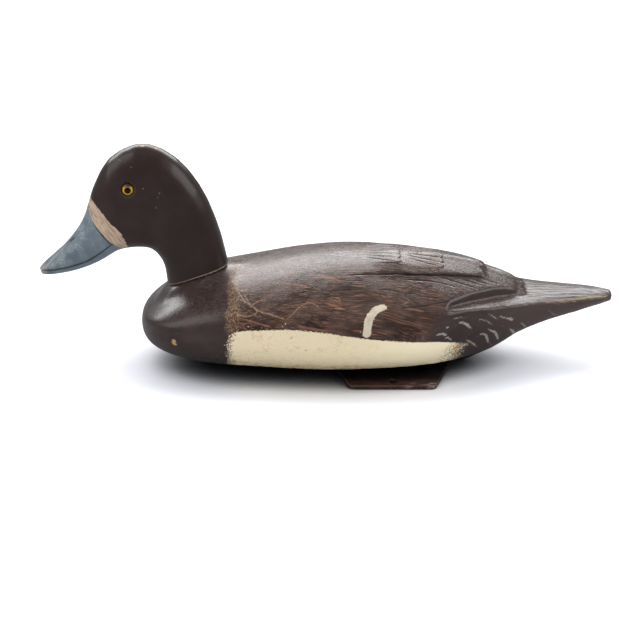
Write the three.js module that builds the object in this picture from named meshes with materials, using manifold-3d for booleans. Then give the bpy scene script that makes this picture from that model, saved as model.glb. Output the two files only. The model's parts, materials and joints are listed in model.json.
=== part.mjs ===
// A carved wooden duck decoy with a folding iron keel, modelled as it rests on a flat surface.
// Millimetres. +X runs from bill to tail, -Y is the duck's left side, +Z is up and z = 0 is the floor.
import * as THREE from "three";
import { mergeVertices } from "three/addons/utils/BufferGeometryUtils.js";
import Module from "manifold-3d";

const wasm = await Module();
wasm.setup();

// Body: its ends, and the stretch over which the breast rounds off
const BREAST_X = -122;
const BREAST_MID_Z = 34;
const BREAST_ROUND_FROM_X = -58;
const BREAST_ROUNDNESS = 2.4;
const BREAST_UNDERSIDE_FULLNESS = 0.72;
const TAIL_TIP_X = 190;

// Body: sizes at stations along its length, each row an x and the value there
const HALF_WIDTH = [[-122, 61], [-58, 66], [-20, 72.5], [15, 75], [48, 72.5], [72, 64.5], [90, 53.5],
  [104, 44], [118, 35], [138, 25.8], [162, 19], [178, 14.4], [185, 11], [190, 4]];
const WIDEST_Z = [[-122, 37], [-58, 40.5], [20, 42], [56, 43.8], [72, 49.5], [80, 51.3], [93, 51.4],
  [113, 49.5], [160, 47.6], [190, 47.4]];
const BACK_Z = [[-122, 43], [-105, 52.5], [-84, 59.6], [-62, 64.4], [-40, 68.8], [-11, 73.8], [18, 76],
  [42, 74.8], [69, 71.6], [92, 67.8], [107, 64], [119, 60], [129, 55.6], [150, 53], [190, 50]];
const CHINE_HALF_WIDTH = [[-122, 36], [-58, 42], [0, 46], [40, 47], [60, 45], [80, 37.5], [96, 27.5],
  [112, 19], [133, 14], [163, 11], [190, 3]];
const CHINE_Z = [[-122, 13], [-58, 11.4], [0, 9.8], [60, 12.2], [96, 13], [104, 13.6], [112, 16], [126, 23.8],
  [148, 32.4], [163, 36.6], [177, 39.6], [190, 43]];
const BOTTOM_Z = [[-122, 2], [-58, 0], [84, 0], [97, 1.4], [106, 8.4], [126, 21], [148, 30], [163, 34.6],
  [177, 38.2], [190, 42]];
const BOTTOM_FLAT_HALF_WIDTH = [[-122, 1.5], [-71, 3], [-53, 9], [-26, 15], [0, 17.5], [30, 16.5], [63, 8],
  [84, 3], [190, 2]];
const BACK_ROUNDNESS = [[-122, 2.1], [-58, 1.95], [20, 1.85], [92, 1.5], [111, 1.45], [190, 1.45]];
const SIDE_CURVE = 1.9;

// Back: a low ridge along its middle, behind the highest point
const BACK_RIDGE_RISE = 1.2;
const BACK_RIDGE_HALF_WIDTH = 14;
const BACK_RIDGE_FROM_X = 42;
const BACK_RIDGE_FULL_X = 80;

// Tail: the top of the rump and paddle, cut down between two ridges, crowned across and grooved lengthwise.
// A ridge stands at a share of the half width, and the flank outside it is left whole.
const RUMP_TOP_Z = [[70, 58], [80, 56.5], [94, 55.2], [107, 53.8], [123, 52], [131, 51], [162, 50.3],
  [190, 48.8]];
const RIDGE_SHARE = [[70, 0.95], [80, 0.965], [93, 0.98], [105, 1], [113, 1.03], [190, 1.05]];
const RIDGE_DROP = 0.5;
const RIDGE_OUTSIDE_RISE = 24;
const RIDGE_OUTSIDE_WIDTH = 10;
const RUMP_FROM_X = 70;
const GROOVES_FROM_X = 118;
const GROOVES_FULL_X = 134;
const GROOVE_COUNT = 9;
const GROOVE_DEPTH = 0.8;

// Wings: plan outline of the right wing's free edge, from the flank to its tip, then the feathers between
const WING_EDGE = [[74, 66], [80, 51.5], [92, 40.5], [101, 32.5], [111, 24], [119, 19], [123.6, 17.2]];
const WING_TIP_ROUND = [[125.2, 15.6], [125, 14], [123, 13.2]];
const TERTIAL_END_X = 131.6;
const TERTIAL_HALF_WIDTH = 14.5;
const TERTIAL_LOBES = 4;
const TERTIAL_LOBE_LENGTH = 3.6;
const TERTIAL_ROOF_SLOPE = 0.36;

// Back panel: the raised feathers of the back, stepped over the wings
const PANEL_FROM_X = 6;
const PANEL_END_X = 105;
const PANEL_FULL_X = 52;
const PANEL_RISE = 2.2;
const PANEL_SINK = 0.8;
const PANEL_HALF_WIDTH = [[6, 35.5], [20, 34.2], [40, 32.7], [54, 30.8], [68, 28], [80, 25.2], [94, 20.6],
  [105, 15.8]];
const PANEL_LOBES = 4;
const PANEL_LOBE_LENGTH = 3.2;

// Head and neck: stations from the neck seat round the head to the bill tip.
// Each row is the outer point x z, the inner point x z, the half width, and how far the width leans inwards.
const HEAD_STATIONS = [
  [-64, 68.3, -104.5, 54.3, 19, 0],
  [-69.5, 92, -106.8, 69, 18.6, 0],
  [-80.5, 119, -113.8, 78.3, 20.2, 0.04],
  [-97.4, 140, -121.3, 79.9, 22.6, 0.1],
  [-118.8, 149.4, -128.4, 79.4, 23.2, 0.14],
  [-139.8, 140.4, -135.4, 77.8, 20.8, 0.18],
  [-150.8, 122.4, -142, 73.6, 16, 0.22],
  [-154.6, 111.4, -145.8, 71.2, 13.9, 0.26],
  [-159.4, 97.8, -153.4, 67.4, 12.6, 0.3],
  [-169, 84, -165.4, 63.6, 12.6, 0.32],
  [-180.6, 72.6, -179.2, 61.8, 13.4, 0.2],
  [-186.6, 67, -186, 62, 10.4, 0.1],
];
const BILL_TIP = [-190, 63.8];
const SEAT_BOW = 2.2;
const SEAT_BOW_TOP_Z = 92;
const NECK_FROM_X = -112;
const SHELF_FLAT = 1;
const SHELF_SPREAD = 1.45;
const HEAD_ROUNDNESS = 2.15;
const HEAD_SPANS = 26;
const HEAD_SIDES = 26;

// Mouth line: from the corner of the bill to the tip, a groove on each side
const MOUTH_LINE = [[-139, 85.5], [-144, 81], [-150.5, 76], [-158, 72], [-170, 68.6], [-183, 66.4],
  [-192, 65]];
const MOUTH_WIDTH = 1;
const MOUTH_DEPTH = 1.1;
const MOUTH_STEPS = 12;
const BILL_EDGE_HALF_WIDTH = 12.2;

// Nostrils: a slot on each side, near the top of the bill
const NOSTRIL = [-165.9, 5.2, 85.5];
const NOSTRIL_LENGTH = 5.2;
const NOSTRIL_RADIUS = 1;
const NOSTRIL_TILT = 0.75;

// Eyes: glass, let into sockets
const EYE_X = -127.2;
const EYE_Z = 124;
const EYE_HALF_SPACING = 18.2;
const EYE_RADIUS = 4.2;

// The gap between pieces that touch, and limits past the object on every side for the shapes that cut it
const GAP = 0.3;
const MERGE_DISTANCE = 1e-4;
const AHEAD_X = -150;
const BEHIND_X = 195;
const BELOW_Z = -50;
const ABOVE_Z = 150;

// Keel: an iron plate that swings on two round pins, with lightening holes, folded up under the left side
const KEEL_X = 43.5;
const PIN_Z = 3.8;
const PIN_RADIUS = 1.8;
const PIN_LENGTH = 11;
const PIN_ROOT = 4;
const PIN_CLEARANCE = 0.35;
const PLATE_THICKNESS = 3;
const PLATE_SHOULDER_WIDTH = 87;
const PLATE_FREE_WIDTH = 57;
const PLATE_DEPTH = 57;
const PLATE_CORNER = 2;
const FREE_EDGE_Z = 0.15;
const TAB_HEIGHT = 6;
const TAB_WIDTH = 15.5;
const TAB_RAMP = 2;
const RECESS_DEPTH = 2.6;
const MID_TAB_BASE = 13;
const MID_TAB_TOP = 4;
const HOLE_RADIUS = 7;
const HOLE_SPACING = 35.5;
const HOLE_FROM_PINS = 26;
const SMALL_HOLE_RADIUS = 2.6;
const SMALL_HOLE_FROM_PINS = 49;
const HOLE_SEGMENTS = 12;
const PIN_SIDES = 16;

// Keel staples: bent iron wire driven into the bottom over each pin
const STAPLE_THICKNESS = 1.5;
const STAPLE_WIDTH = 1.6;
const STAPLE_LEG = 10;
const STAPLE_SEGMENTS = 8;
const STAPLE_XS = [-1, 1].map((side) => KEEL_X + (side * (PLATE_SHOULDER_WIDTH + PIN_LENGTH)) / 2);

// Hollow in the bottom: a wide part for the folded plate, and a deeper trough for its tabs as it swings
const PLATE_HOLLOW_LENGTH = 92;
const PLATE_HOLLOW_LEFT_Y = -62;
const TROUGH_LEFT_Y = -2.3;
const TROUGH_RIGHT_Y = 8;
const TROUGH_TOP_Z = 10.8;

// Looks
const FINISHES = {
  body: { color: 0x4b3c38, roughness: 0.55, metalness: 0 },
  head: { color: 0x3f3330, roughness: 0.4, metalness: 0 },
  glass: { color: 0xb88a1a, roughness: 0.1, metalness: 0 },
  iron: { color: 0x5b3a30, roughness: 0.85, metalness: 0.4 },
};

// A smooth curve through rows of x and value, read at any x
function along(rows) {
  const last = rows.length - 1;
  const steps = rows.slice(1).map((row, i) => (row[1] - rows[i][1]) / (row[0] - rows[i][0]));
  const slopes = rows.map((row, i) => {
    if (i === 0) return steps[0];
    if (i === last) return steps[last - 1];
    return steps[i - 1] * steps[i] <= 0 ? 0 : (2 * steps[i - 1] * steps[i]) / (steps[i - 1] + steps[i]);
  });
  return (x) => {
    const at = Math.min(Math.max(x, rows[0][0]), rows[last][0]);
    const i = Math.min(rows.findIndex((row, k) => k === last || at <= rows[k + 1][0]), last - 1);
    const width = rows[i + 1][0] - rows[i][0];
    const t = (at - rows[i][0]) / width;
    const rise = (1 - t) * (1 - t) * (rows[i][1] * (1 + 2 * t) + slopes[i] * width * t);
    return rise + t * t * (rows[i + 1][1] * (3 - 2 * t) - slopes[i + 1] * width * (1 - t));
  };
}

const halfWidthAt = along(HALF_WIDTH);
const widestZAt = along(WIDEST_Z);
const backZAt = along(BACK_Z);
const chineHalfWidthAt = along(CHINE_HALF_WIDTH);
const chineZAt = along(CHINE_Z);
const bottomZAt = along(BOTTOM_Z);
const backRoundnessAt = along(BACK_ROUNDNESS);
const bottomFlatAt = along(BOTTOM_FLAT_HALF_WIDTH);
const rumpTopZAt = along(RUMP_TOP_Z);
const ridgeShareAt = along(RIDGE_SHARE);
const panelHalfWidthAt = along(PANEL_HALF_WIDTH);
const smooth = (x, from, to) => THREE.MathUtils.smoothstep(x, from, to);

// A closed geometry from rings of equally many points, each end closed to its ring's middle or a given point
function loft(rings, startPoint, endPoint) {
  const sides = rings[0].length;
  const middle = (ring) => ring.reduce((sum, p) => sum.add(p), new THREE.Vector3()).divideScalar(ring.length);
  const ends = [startPoint || middle(rings[0]), endPoint || middle(rings[rings.length - 1])];
  const points = [...rings.flat(), ...ends];
  const start = rings.length * sides;
  const faces = [];
  for (let r = 0; r + 1 < rings.length; r += 1) {
    for (let s = 0; s < sides; s += 1) {
      const a = r * sides + s;
      const b = r * sides + ((s + 1) % sides);
      faces.push(a, b, b + sides, a, b + sides, a + sides);
    }
  }
  for (let s = 0; s < sides; s += 1) {
    const next = (s + 1) % sides;
    faces.push(start, next, s);
    faces.push(start + 1, start - sides + s, start - sides + next);
  }
  const geometry = new THREE.BufferGeometry().setFromPoints(points);
  geometry.setIndex(faces);
  return geometry;
}

// A geometry as a manifold-3d solid, turned to face outwards
function solid(geometry) {
  const bare = geometry.clone();
  bare.deleteAttribute("normal");
  bare.deleteAttribute("uv");
  const merged = mergeVertices(bare, MERGE_DISTANCE);
  const vertProperties = merged.attributes.position.array;
  const build = (triVerts) => new wasm.Manifold(new wasm.Mesh({ numProp: 3, vertProperties, triVerts }));
  const triVerts = new Uint32Array(merged.index.array);
  const made = build(triVerts);
  return made.volume() > 0 ? made : build(triVerts.reverse());
}

function meshOf(name, made, finish) {
  const { vertProperties, triVerts } = made.getMesh();
  const geometry = new THREE.BufferGeometry();
  geometry.setAttribute("position", new THREE.BufferAttribute(vertProperties, 3));
  geometry.setIndex(new THREE.BufferAttribute(triVerts, 1));
  geometry.computeVertexNormals();
  const mesh = new THREE.Mesh(geometry, new THREE.MeshStandardMaterial(FINISHES[finish]));
  mesh.name = name;
  return mesh;
}

function box(x0, x1, y0, y1, z0, z1) {
  const geometry = new THREE.BoxGeometry(x1 - x0, y1 - y0, z1 - z0);
  return solid(geometry.translate((x0 + x1) / 2, (y0 + y1) / 2, (z0 + z1) / 2));
}

// An upright prism over a plan outline of x y points
function prism(outline, z0, z1) {
  const shape = new THREE.Shape(outline.map(([x, y]) => new THREE.Vector2(x, y)));
  return solid(new THREE.ExtrudeGeometry(shape, { depth: z1 - z0, bevelEnabled: false }).translate(0, 0, z0));
}

// Height of the body's rounded back at x and y
function backSurfaceZ(x, y) {
  const power = backRoundnessAt(x);
  const across = Math.min(1, Math.abs(y) / halfWidthAt(x));
  return widestZAt(x) + (backZAt(x) - widestZAt(x)) * Math.pow(1 - Math.pow(across, power), 1 / power);
}

// How full the body's section is at x, from 0 at the foremost point to 1 where the breast has rounded off
function fullness(x) {
  const t = Math.max(0, (BREAST_ROUND_FROM_X - x) / (BREAST_ROUND_FROM_X - BREAST_X));
  return Math.pow(Math.max(0, 1 - Math.pow(t, BREAST_ROUNDNESS)), 1 / BREAST_ROUNDNESS);
}

const BACK_STEPS = 11;
const SIDE_STEPS = 6;
const BOTTOM_STEPS = 2;

// How far the back at x, y and z is raised, inside and round the neck's foot, to meet the neck's seat
function neckShelfRise(x, y, z) {
  const [outerX, outerZ, innerX, innerZ, halfWidth] = HEAD_STATIONS[0];
  const along = (x - (outerX + innerX) / 2) / ((outerX - innerX) / 2);
  const seat = (outerZ + innerZ) / 2 + (along * (outerZ - innerZ)) / 2 + SEAT_BOW * (1 - along * along);
  const away = Math.hypot(along, y / halfWidth);
  return Math.max(0, seat - z) * (1 - smooth(away, SHELF_FLAT, SHELF_SPREAD));
}

// How far the back is raised at x, y by the ridge along its middle
function backRidgeRise(x, y) {
  const across = Math.max(0, 1 - Math.abs(y) / BACK_RIDGE_HALF_WIDTH);
  return BACK_RIDGE_RISE * smooth(x, BACK_RIDGE_FROM_X, BACK_RIDGE_FULL_X) * across;
}

// The body's cross-section at x as a ring of points, grown outwards by grow
function bodySection(x, grow) {
  const full = fullness(x);
  const scaled = (z) => BREAST_MID_Z + (z - BREAST_MID_Z) * full;
  const under = Math.pow(full, BREAST_UNDERSIDE_FULLNESS);
  const scaledUnder = (z) => BREAST_MID_Z + (z - BREAST_MID_Z) * under;
  const halfWidth = halfWidthAt(x) * full + grow;
  const widest = scaled(widestZAt(x));
  const top = scaled(backZAt(x)) + grow;
  const chine = chineHalfWidthAt(x) * under + grow;
  const chineZ = scaledUnder(chineZAt(x)) - grow;
  const bottom = scaledUnder(bottomZAt(x)) - grow;
  const flat = bottomFlatAt(x) * full;
  const power = 2 / backRoundnessAt(x);
  const right = [];
  for (let i = 0; i < BACK_STEPS; i += 1) {
    const angle = (Math.PI / 2) * (i / BACK_STEPS);
    const y = halfWidth * Math.pow(Math.sin(angle), power);
    const z = widest + (top - widest) * Math.pow(Math.cos(angle), power);
    right.push([y, z + neckShelfRise(x, y, z) + backRidgeRise(x, y)]);
  }
  for (let i = 0; i < SIDE_STEPS; i += 1) {
    const t = i / SIDE_STEPS;
    right.push([chine + (halfWidth - chine) * (1 - Math.pow(t, SIDE_CURVE)), widest + (chineZ - widest) * t]);
  }
  for (let i = 0; i <= BOTTOM_STEPS; i += 1) {
    const t = i / BOTTOM_STEPS;
    right.push([chine + (flat - chine) * t, chineZ + (bottom - chineZ) * t]);
  }
  right.push([0, bottom]);
  const left = right.slice(1, -1).reverse().map(([y, z]) => [-y, z]);
  return [...right, ...left].map(([y, z]) => new THREE.Vector3(x, y, z));
}

// Stations along the body, closer together where the breast rounds off
function bodyStations(from, to, spacing) {
  const count = Math.round((to - from) / spacing);
  return Array.from({ length: count + 1 }, (_, i) => from + ((to - from) * i) / count);
}

const BREAST_STEPS = 11;
const BREAST_FIRST_STEP = 0.8;
const BODY_SPACING = 8;

function bodyBlank() {
  const rounding = Array.from({ length: BREAST_STEPS }, (_, i) => {
    const angle = (Math.PI / 2) * ((i + BREAST_FIRST_STEP) / BREAST_STEPS);
    return BREAST_ROUND_FROM_X - (BREAST_ROUND_FROM_X - BREAST_X) * Math.cos(angle);
  });
  const xs = [...rounding, ...bodyStations(BREAST_ROUND_FROM_X, TAIL_TIP_X, BODY_SPACING).slice(1)];
  const tip = new THREE.Vector3(BREAST_X, 0, BREAST_MID_Z);
  return solid(loft(xs.map((x) => bodySection(x, 0)), tip));
}

// A lobed edge of feather ends across the body, from y = from to y = to, ending at x
function lobes(x, from, to, count, length) {
  const stepsEach = 5;
  const total = count * stepsEach;
  return Array.from({ length: total + 1 }, (_, i) => {
    const within = (i % stepsEach) / stepsEach;
    return [x - length + length * Math.sqrt(Math.sin(Math.PI * within)), from + ((to - from) * i) / total];
  });
}

// Everything that stands above the rump: the whole back in front, and the folded wings behind
function wingPrism() {
  const rightEdge = [...WING_EDGE, ...WING_TIP_ROUND];
  const leftEdge = rightEdge.map(([x, y]) => [x, -y]);
  const wide = 2 * HALF_WIDTH[0][1];
  const across = TERTIAL_HALF_WIDTH;
  const feathers = lobes(TERTIAL_END_X, -across, across, TERTIAL_LOBES, TERTIAL_LOBE_LENGTH);
  const startX = WING_EDGE[0][0];
  const front = [[startX, wide], [AHEAD_X, wide], [AHEAD_X, -wide], [startX, -wide]];
  return prism([...front, ...leftEdge, ...feathers, ...rightEdge.reverse()], BELOW_Z, ABOVE_Z);
}

// Everything above the two slopes of the feathers between the wing tips, which fall from the back's ridge
function tertialRoofCut() {
  const across = TERTIAL_HALF_WIDTH + GAP;
  const rings = [WING_TIP_ROUND[0][0], TERTIAL_END_X + GAP].map((x) => {
    const ridgeZ = backZAt(x) + BACK_RIDGE_RISE;
    const sideZ = ridgeZ - TERTIAL_ROOF_SLOPE * across;
    const outline = [[-across, sideZ], [0, ridgeZ], [across, sideZ], [across, ABOVE_Z], [-across, ABOVE_Z]];
    return outline.map(([y, z]) => new THREE.Vector3(x, y, z));
  });
  return solid(loft(rings));
}

// Depth of the tail's grooves at x, y
function grooveAt(x, y) {
  const halfWidth = halfWidthAt(x);
  const wave = Math.abs(Math.sin((Math.PI * GROOVE_COUNT * (y / halfWidth + 1)) / 2));
  return GROOVE_DEPTH * smooth(x, GROOVES_FROM_X, GROOVES_FULL_X) * (1 - wave);
}

const RUMP_SPACING = 8;
const RUMP_STRIPS = 36;

// A block whose top is the rump and the tail's grooved top
function rumpBlock() {
  const rings = bodyStations(RUMP_FROM_X, BEHIND_X, RUMP_SPACING).map((x) => {
    const ridgeY = halfWidthAt(x) * ridgeShareAt(x);
    const ridgeZ = backSurfaceZ(x, ridgeY) - RIDGE_DROP * smooth(x, WING_EDGE[2][0], TERTIAL_END_X);
    const top = Array.from({ length: RUMP_STRIPS + 1 }, (_, i) => {
      const t = 1 - (2 * i) / RUMP_STRIPS;
      const crown = (rumpTopZAt(x) - ridgeZ) * (1 - t * t);
      return new THREE.Vector3(x, ridgeY * t, ridgeZ + crown - grooveAt(x, ridgeY * t));
    });
    const outerY = ridgeY + RIDGE_OUTSIDE_WIDTH;
    const outerZ = ridgeZ + RIDGE_OUTSIDE_RISE;
    const outside = [[-outerY, outerZ], [-outerY, BELOW_Z], [outerY, BELOW_Z], [outerY, outerZ]];
    return [...top, ...outside.map(([y, z]) => new THREE.Vector3(x, y, z))];
  });
  return solid(loft(rings));
}

// The raised panel of back feathers: it lifts out of the back and ends in a row of lobes
function backPanel() {
  const riseAt = (x) => (PANEL_RISE + PANEL_SINK) * smooth(x, PANEL_FROM_X, PANEL_FULL_X) - PANEL_SINK;
  const sections = bodyStations(PANEL_FROM_X, BEHIND_X, BODY_SPACING).map((x) => bodySection(x, riseAt(x)));
  const sides = bodyStations(PANEL_FROM_X, PANEL_END_X - PANEL_LOBE_LENGTH, BODY_SPACING);
  const left = sides.map((x) => [x, -panelHalfWidthAt(x)]);
  const right = sides.map((x) => [x, panelHalfWidthAt(x)]).reverse();
  const end = panelHalfWidthAt(PANEL_END_X);
  const feathers = lobes(PANEL_END_X, -end, end, PANEL_LOBES, PANEL_LOBE_LENGTH);
  return solid(loft(sections)).intersect(prism([...left, ...feathers, ...right], WIDEST_Z[0][1], ABOVE_Z));
}

// Head stations, smoothed between the given rows
function headRow(t) {
  const spans = HEAD_STATIONS.length - 1;
  const at = Math.min(t * spans, spans - 1e-9);
  const i = Math.floor(at);
  const f = at - i;
  const row = (k) => HEAD_STATIONS[Math.min(Math.max(k, 0), spans)];
  return HEAD_STATIONS[0].map((_, c) => {
    const [a, b, d, e] = [row(i - 1)[c], row(i)[c], row(i + 1)[c], row(i + 2)[c]];
    return b + 0.5 * f * (d - a + f * (2 * a - 5 * b + 4 * d - e + f * (3 * (b - d) + e - a)));
  });
}

// One section of the head in the plane through its outer and inner points
function headSection(row, grow = 0) {
  const [outerX, outerZ, innerX, innerZ, halfWidth, lean] = row;
  const power = 2 / HEAD_ROUNDNESS;
  const half = new THREE.Vector2(outerX - innerX, outerZ - innerZ).multiplyScalar(0.5);
  const reach = 1 + grow / half.length();
  const curve = (v) => Math.sign(v) * Math.pow(Math.abs(v), power);
  const bow = innerX > NECK_FROM_X ? SEAT_BOW * (1 - smooth(outerZ, HEAD_STATIONS[0][1], SEAT_BOW_TOP_Z)) : 0;
  return Array.from({ length: HEAD_SIDES }, (_, i) => {
    const angle = (2 * Math.PI * i) / HEAD_SIDES;
    const toOuter = curve(Math.cos(angle));
    const side = curve(Math.sin(angle)) * (halfWidth + grow) * (1 - lean * toOuter);
    const x = (outerX + innerX) / 2 + half.x * reach * toOuter;
    const z = (outerZ + innerZ) / 2 + half.y * reach * toOuter + bow * (1 - toOuter * toOuter);
    return new THREE.Vector3(x, side, z);
  });
}

function headBlank() {
  const rings = Array.from({ length: HEAD_SPANS + 1 }, (_, i) => headSection(headRow(i / HEAD_SPANS)));
  return solid(loft(rings, null, new THREE.Vector3(BILL_TIP[0], 0, BILL_TIP[1])));
}

// A ribbon along the mouth line, standing across one side of the bill
function mouthCutter(side) {
  const curve = new THREE.SplineCurve(MOUTH_LINE.map(([x, z]) => new THREE.Vector2(x, z)));
  const middle = curve.getPoints(MOUTH_STEPS);
  const offset = (p, i, by) => {
    const tangent = curve.getTangent(i / MOUTH_STEPS);
    return new THREE.Vector2(p.x - tangent.y * by, p.y + tangent.x * by);
  };
  const upper = middle.map((p, i) => offset(p, i, MOUTH_WIDTH / 2));
  const lower = middle.map((p, i) => offset(p, i, -MOUTH_WIDTH / 2)).reverse();
  const outline = new THREE.Shape([...upper, ...lower]);
  const depth = HEAD_STATIONS[0][4];
  const ribbon = new THREE.ExtrudeGeometry(outline, { depth, bevelEnabled: false }).rotateX(Math.PI / 2);
  const inner = BILL_EDGE_HALF_WIDTH - MOUTH_DEPTH;
  return solid(ribbon.translate(0, side > 0 ? inner + depth : -inner, 0));
}

function nostrilCutter(side) {
  const slot = new THREE.CapsuleGeometry(NOSTRIL_RADIUS, NOSTRIL_LENGTH - 2 * NOSTRIL_RADIUS, 3, 8);
  slot.rotateZ(Math.PI / 2);
  slot.rotateY(-NOSTRIL_TILT);
  return solid(slot.translate(NOSTRIL[0], side * NOSTRIL[1], NOSTRIL[2]));
}

function eyeBall(side, radius) {
  const ball = new THREE.SphereGeometry(radius, 16, 10).rotateX(Math.PI / 2);
  return solid(ball.translate(EYE_X, side * EYE_HALF_SPACING, EYE_Z));
}

function head() {
  let made = headBlank();
  for (const side of [-1, 1]) {
    const socket = eyeBall(side, EYE_RADIUS + GAP);
    made = made.subtract(mouthCutter(side)).subtract(nostrilCutter(side)).subtract(socket);
  }
  return made;
}

// The neck's foot, grown by the gap and run upwards, which the body is cut by
function neckSocket() {
  const foot = headSection(HEAD_STATIONS[0], GAP);
  const moved = (by) => foot.map((p) => p.clone().setZ(p.z + by));
  return solid(loft([moved(-GAP), moved(ABOVE_Z)]));
}

// Everything that the bottom gives up to the folded keel, its pins and its staples
function keelHollow() {
  const reach = PLATE_HOLLOW_LENGTH / 2;
  const topZ = PIN_Z + PIN_RADIUS + PIN_CLEARANCE;
  const pinReach = PLATE_SHOULDER_WIDTH / 2 + PIN_LENGTH + 2 * GAP;
  const pinHalf = PIN_RADIUS + PIN_CLEARANCE;
  let made = box(KEEL_X - reach, KEEL_X + reach, PLATE_HOLLOW_LEFT_Y, TROUGH_RIGHT_Y, BELOW_Z, topZ);
  made = made.add(box(KEEL_X - reach, KEEL_X + reach, TROUGH_LEFT_Y, TROUGH_RIGHT_Y, BELOW_Z, TROUGH_TOP_Z));
  made = made.add(box(KEEL_X - pinReach, KEEL_X + pinReach, -pinHalf, pinHalf, BELOW_Z, topZ));
  const legInner = pinHalf - GAP;
  const legOuter = pinHalf + STAPLE_THICKNESS + GAP;
  const halfWidth = STAPLE_WIDTH / 2 + GAP;
  for (const x of STAPLE_XS) {
    for (const [y0, y1] of [[-legOuter, -legInner], [legInner, legOuter]]) {
      made = made.add(box(x - halfWidth, x + halfWidth, y0, y1, BELOW_Z, PIN_Z + STAPLE_LEG + GAP));
    }
  }
  return made;
}

function body() {
  const back = bodyBlank().intersect(wingPrism().add(rumpBlock()));
  const feathered = back.subtract(tertialRoofCut()).add(backPanel());
  return feathered.subtract(neckSocket()).subtract(keelHollow());
}

// The plate's outline, with x along the pins and y from the free edge up to the tabs
function plateShape() {
  const shoulder = PLATE_SHOULDER_WIDTH / 2;
  const free = PLATE_FREE_WIDTH / 2;
  const half = [
    [free - PLATE_CORNER, -PLATE_DEPTH],
    [free, -PLATE_DEPTH + PLATE_CORNER],
    [shoulder, -TAB_HEIGHT / 2],
    [shoulder, TAB_HEIGHT - PLATE_CORNER],
    [shoulder - PLATE_CORNER, TAB_HEIGHT],
    [shoulder - TAB_WIDTH, TAB_HEIGHT],
    [shoulder - TAB_WIDTH - TAB_RAMP, -RECESS_DEPTH],
    [MID_TAB_BASE / 2, -RECESS_DEPTH],
    [MID_TAB_TOP / 2, TAB_HEIGHT],
  ];
  const outline = [...half, ...half.map(([x, y]) => [-x, y]).reverse()];
  const shape = new THREE.Shape(outline.map(([x, y]) => new THREE.Vector2(x, y)));
  const holes = [
    [-HOLE_SPACING / 2, -HOLE_FROM_PINS, HOLE_RADIUS],
    [HOLE_SPACING / 2, -HOLE_FROM_PINS, HOLE_RADIUS],
    [0, -SMALL_HOLE_FROM_PINS, SMALL_HOLE_RADIUS],
  ];
  shape.holes = holes.map(([x, y, r]) => new THREE.Path().absarc(x, y, r, 0, 2 * Math.PI, true));
  return shape;
}

function keelPlate() {
  const plate = new THREE.ExtrudeGeometry(plateShape(), {
    depth: PLATE_THICKNESS, bevelEnabled: false, curveSegments: HOLE_SEGMENTS,
  }).translate(0, 0, -PLATE_THICKNESS / 2);
  const pinSpan = PLATE_SHOULDER_WIDTH + 2 * PIN_LENGTH;
  const reach = PIN_LENGTH + PIN_ROOT;
  let made = solid(plate);
  for (const side of [-1, 1]) {
    const pin = new THREE.CylinderGeometry(PIN_RADIUS, PIN_RADIUS, reach, PIN_SIDES).rotateZ(Math.PI / 2);
    made = made.add(solid(pin.translate((side * (pinSpan - reach)) / 2, 0, 0)));
  }
  return made;
}

// One staple, round the underside of a pin at its own origin, with its legs pointing up
function staple() {
  const inner = PIN_RADIUS + PIN_CLEARANCE;
  const outer = inner + STAPLE_THICKNESS;
  const shape = new THREE.Shape();
  shape.moveTo(outer, STAPLE_LEG);
  shape.lineTo(outer, 0);
  shape.absarc(0, 0, outer, 0, -Math.PI, true);
  shape.lineTo(-outer, STAPLE_LEG);
  shape.lineTo(-inner, STAPLE_LEG);
  shape.lineTo(-inner, 0);
  shape.absarc(0, 0, inner, Math.PI, 2 * Math.PI, false);
  shape.lineTo(inner, STAPLE_LEG);
  const settings = { depth: STAPLE_WIDTH, bevelEnabled: false, curveSegments: STAPLE_SEGMENTS };
  const geometry = new THREE.ExtrudeGeometry(shape, settings).translate(0, 0, -STAPLE_WIDTH / 2);
  return solid(geometry.rotateX(Math.PI / 2).rotateZ(Math.PI / 2));
}

const decoy = new THREE.Group();
decoy.add(meshOf("body", body(), "body"));
decoy.add(meshOf("head", head(), "head"));
decoy.add(meshOf("eye_left", eyeBall(-1, EYE_RADIUS), "glass"));
decoy.add(meshOf("eye_right", eyeBall(1, EYE_RADIUS), "glass"));

// The keel is folded to the left side, with its free edge just clear of the floor
const keel = new THREE.Group();
keel.position.set(KEEL_X, 0, PIN_Z);
keel.rotation.x = Math.asin((PIN_Z - PLATE_THICKNESS / 2 - FREE_EDGE_Z) / PLATE_DEPTH);
keel.add(meshOf("keel_plate", keelPlate(), "iron"));
decoy.add(keel);

for (const [i, name] of ["keel_staple_front", "keel_staple_rear"].entries()) {
  const mesh = meshOf(name, staple(), "iron");
  mesh.position.set(STAPLE_XS[i], 0, PIN_Z);
  decoy.add(mesh);
}

export default decoy;
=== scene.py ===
"""A carved and painted hen duck decoy with glass eyes and a folding iron keel.

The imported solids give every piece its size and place. This script carves the fine relief into copies of them,
paints them, and sets them on a pale floor. Sizes are in millimetres, and turned into metres where a mesh is
made. +X runs from bill to tail, -Y is the duck's left side, +Z is up and z = 0 is the floor.
"""

import json
import logging
import math
from contextlib import contextmanager
from dataclasses import dataclass
from enum import Enum
from typing import Any, Callable, Iterator, Sequence

import bmesh
import bpy
import numpy as np
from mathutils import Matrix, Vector, kdtree, noise

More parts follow.
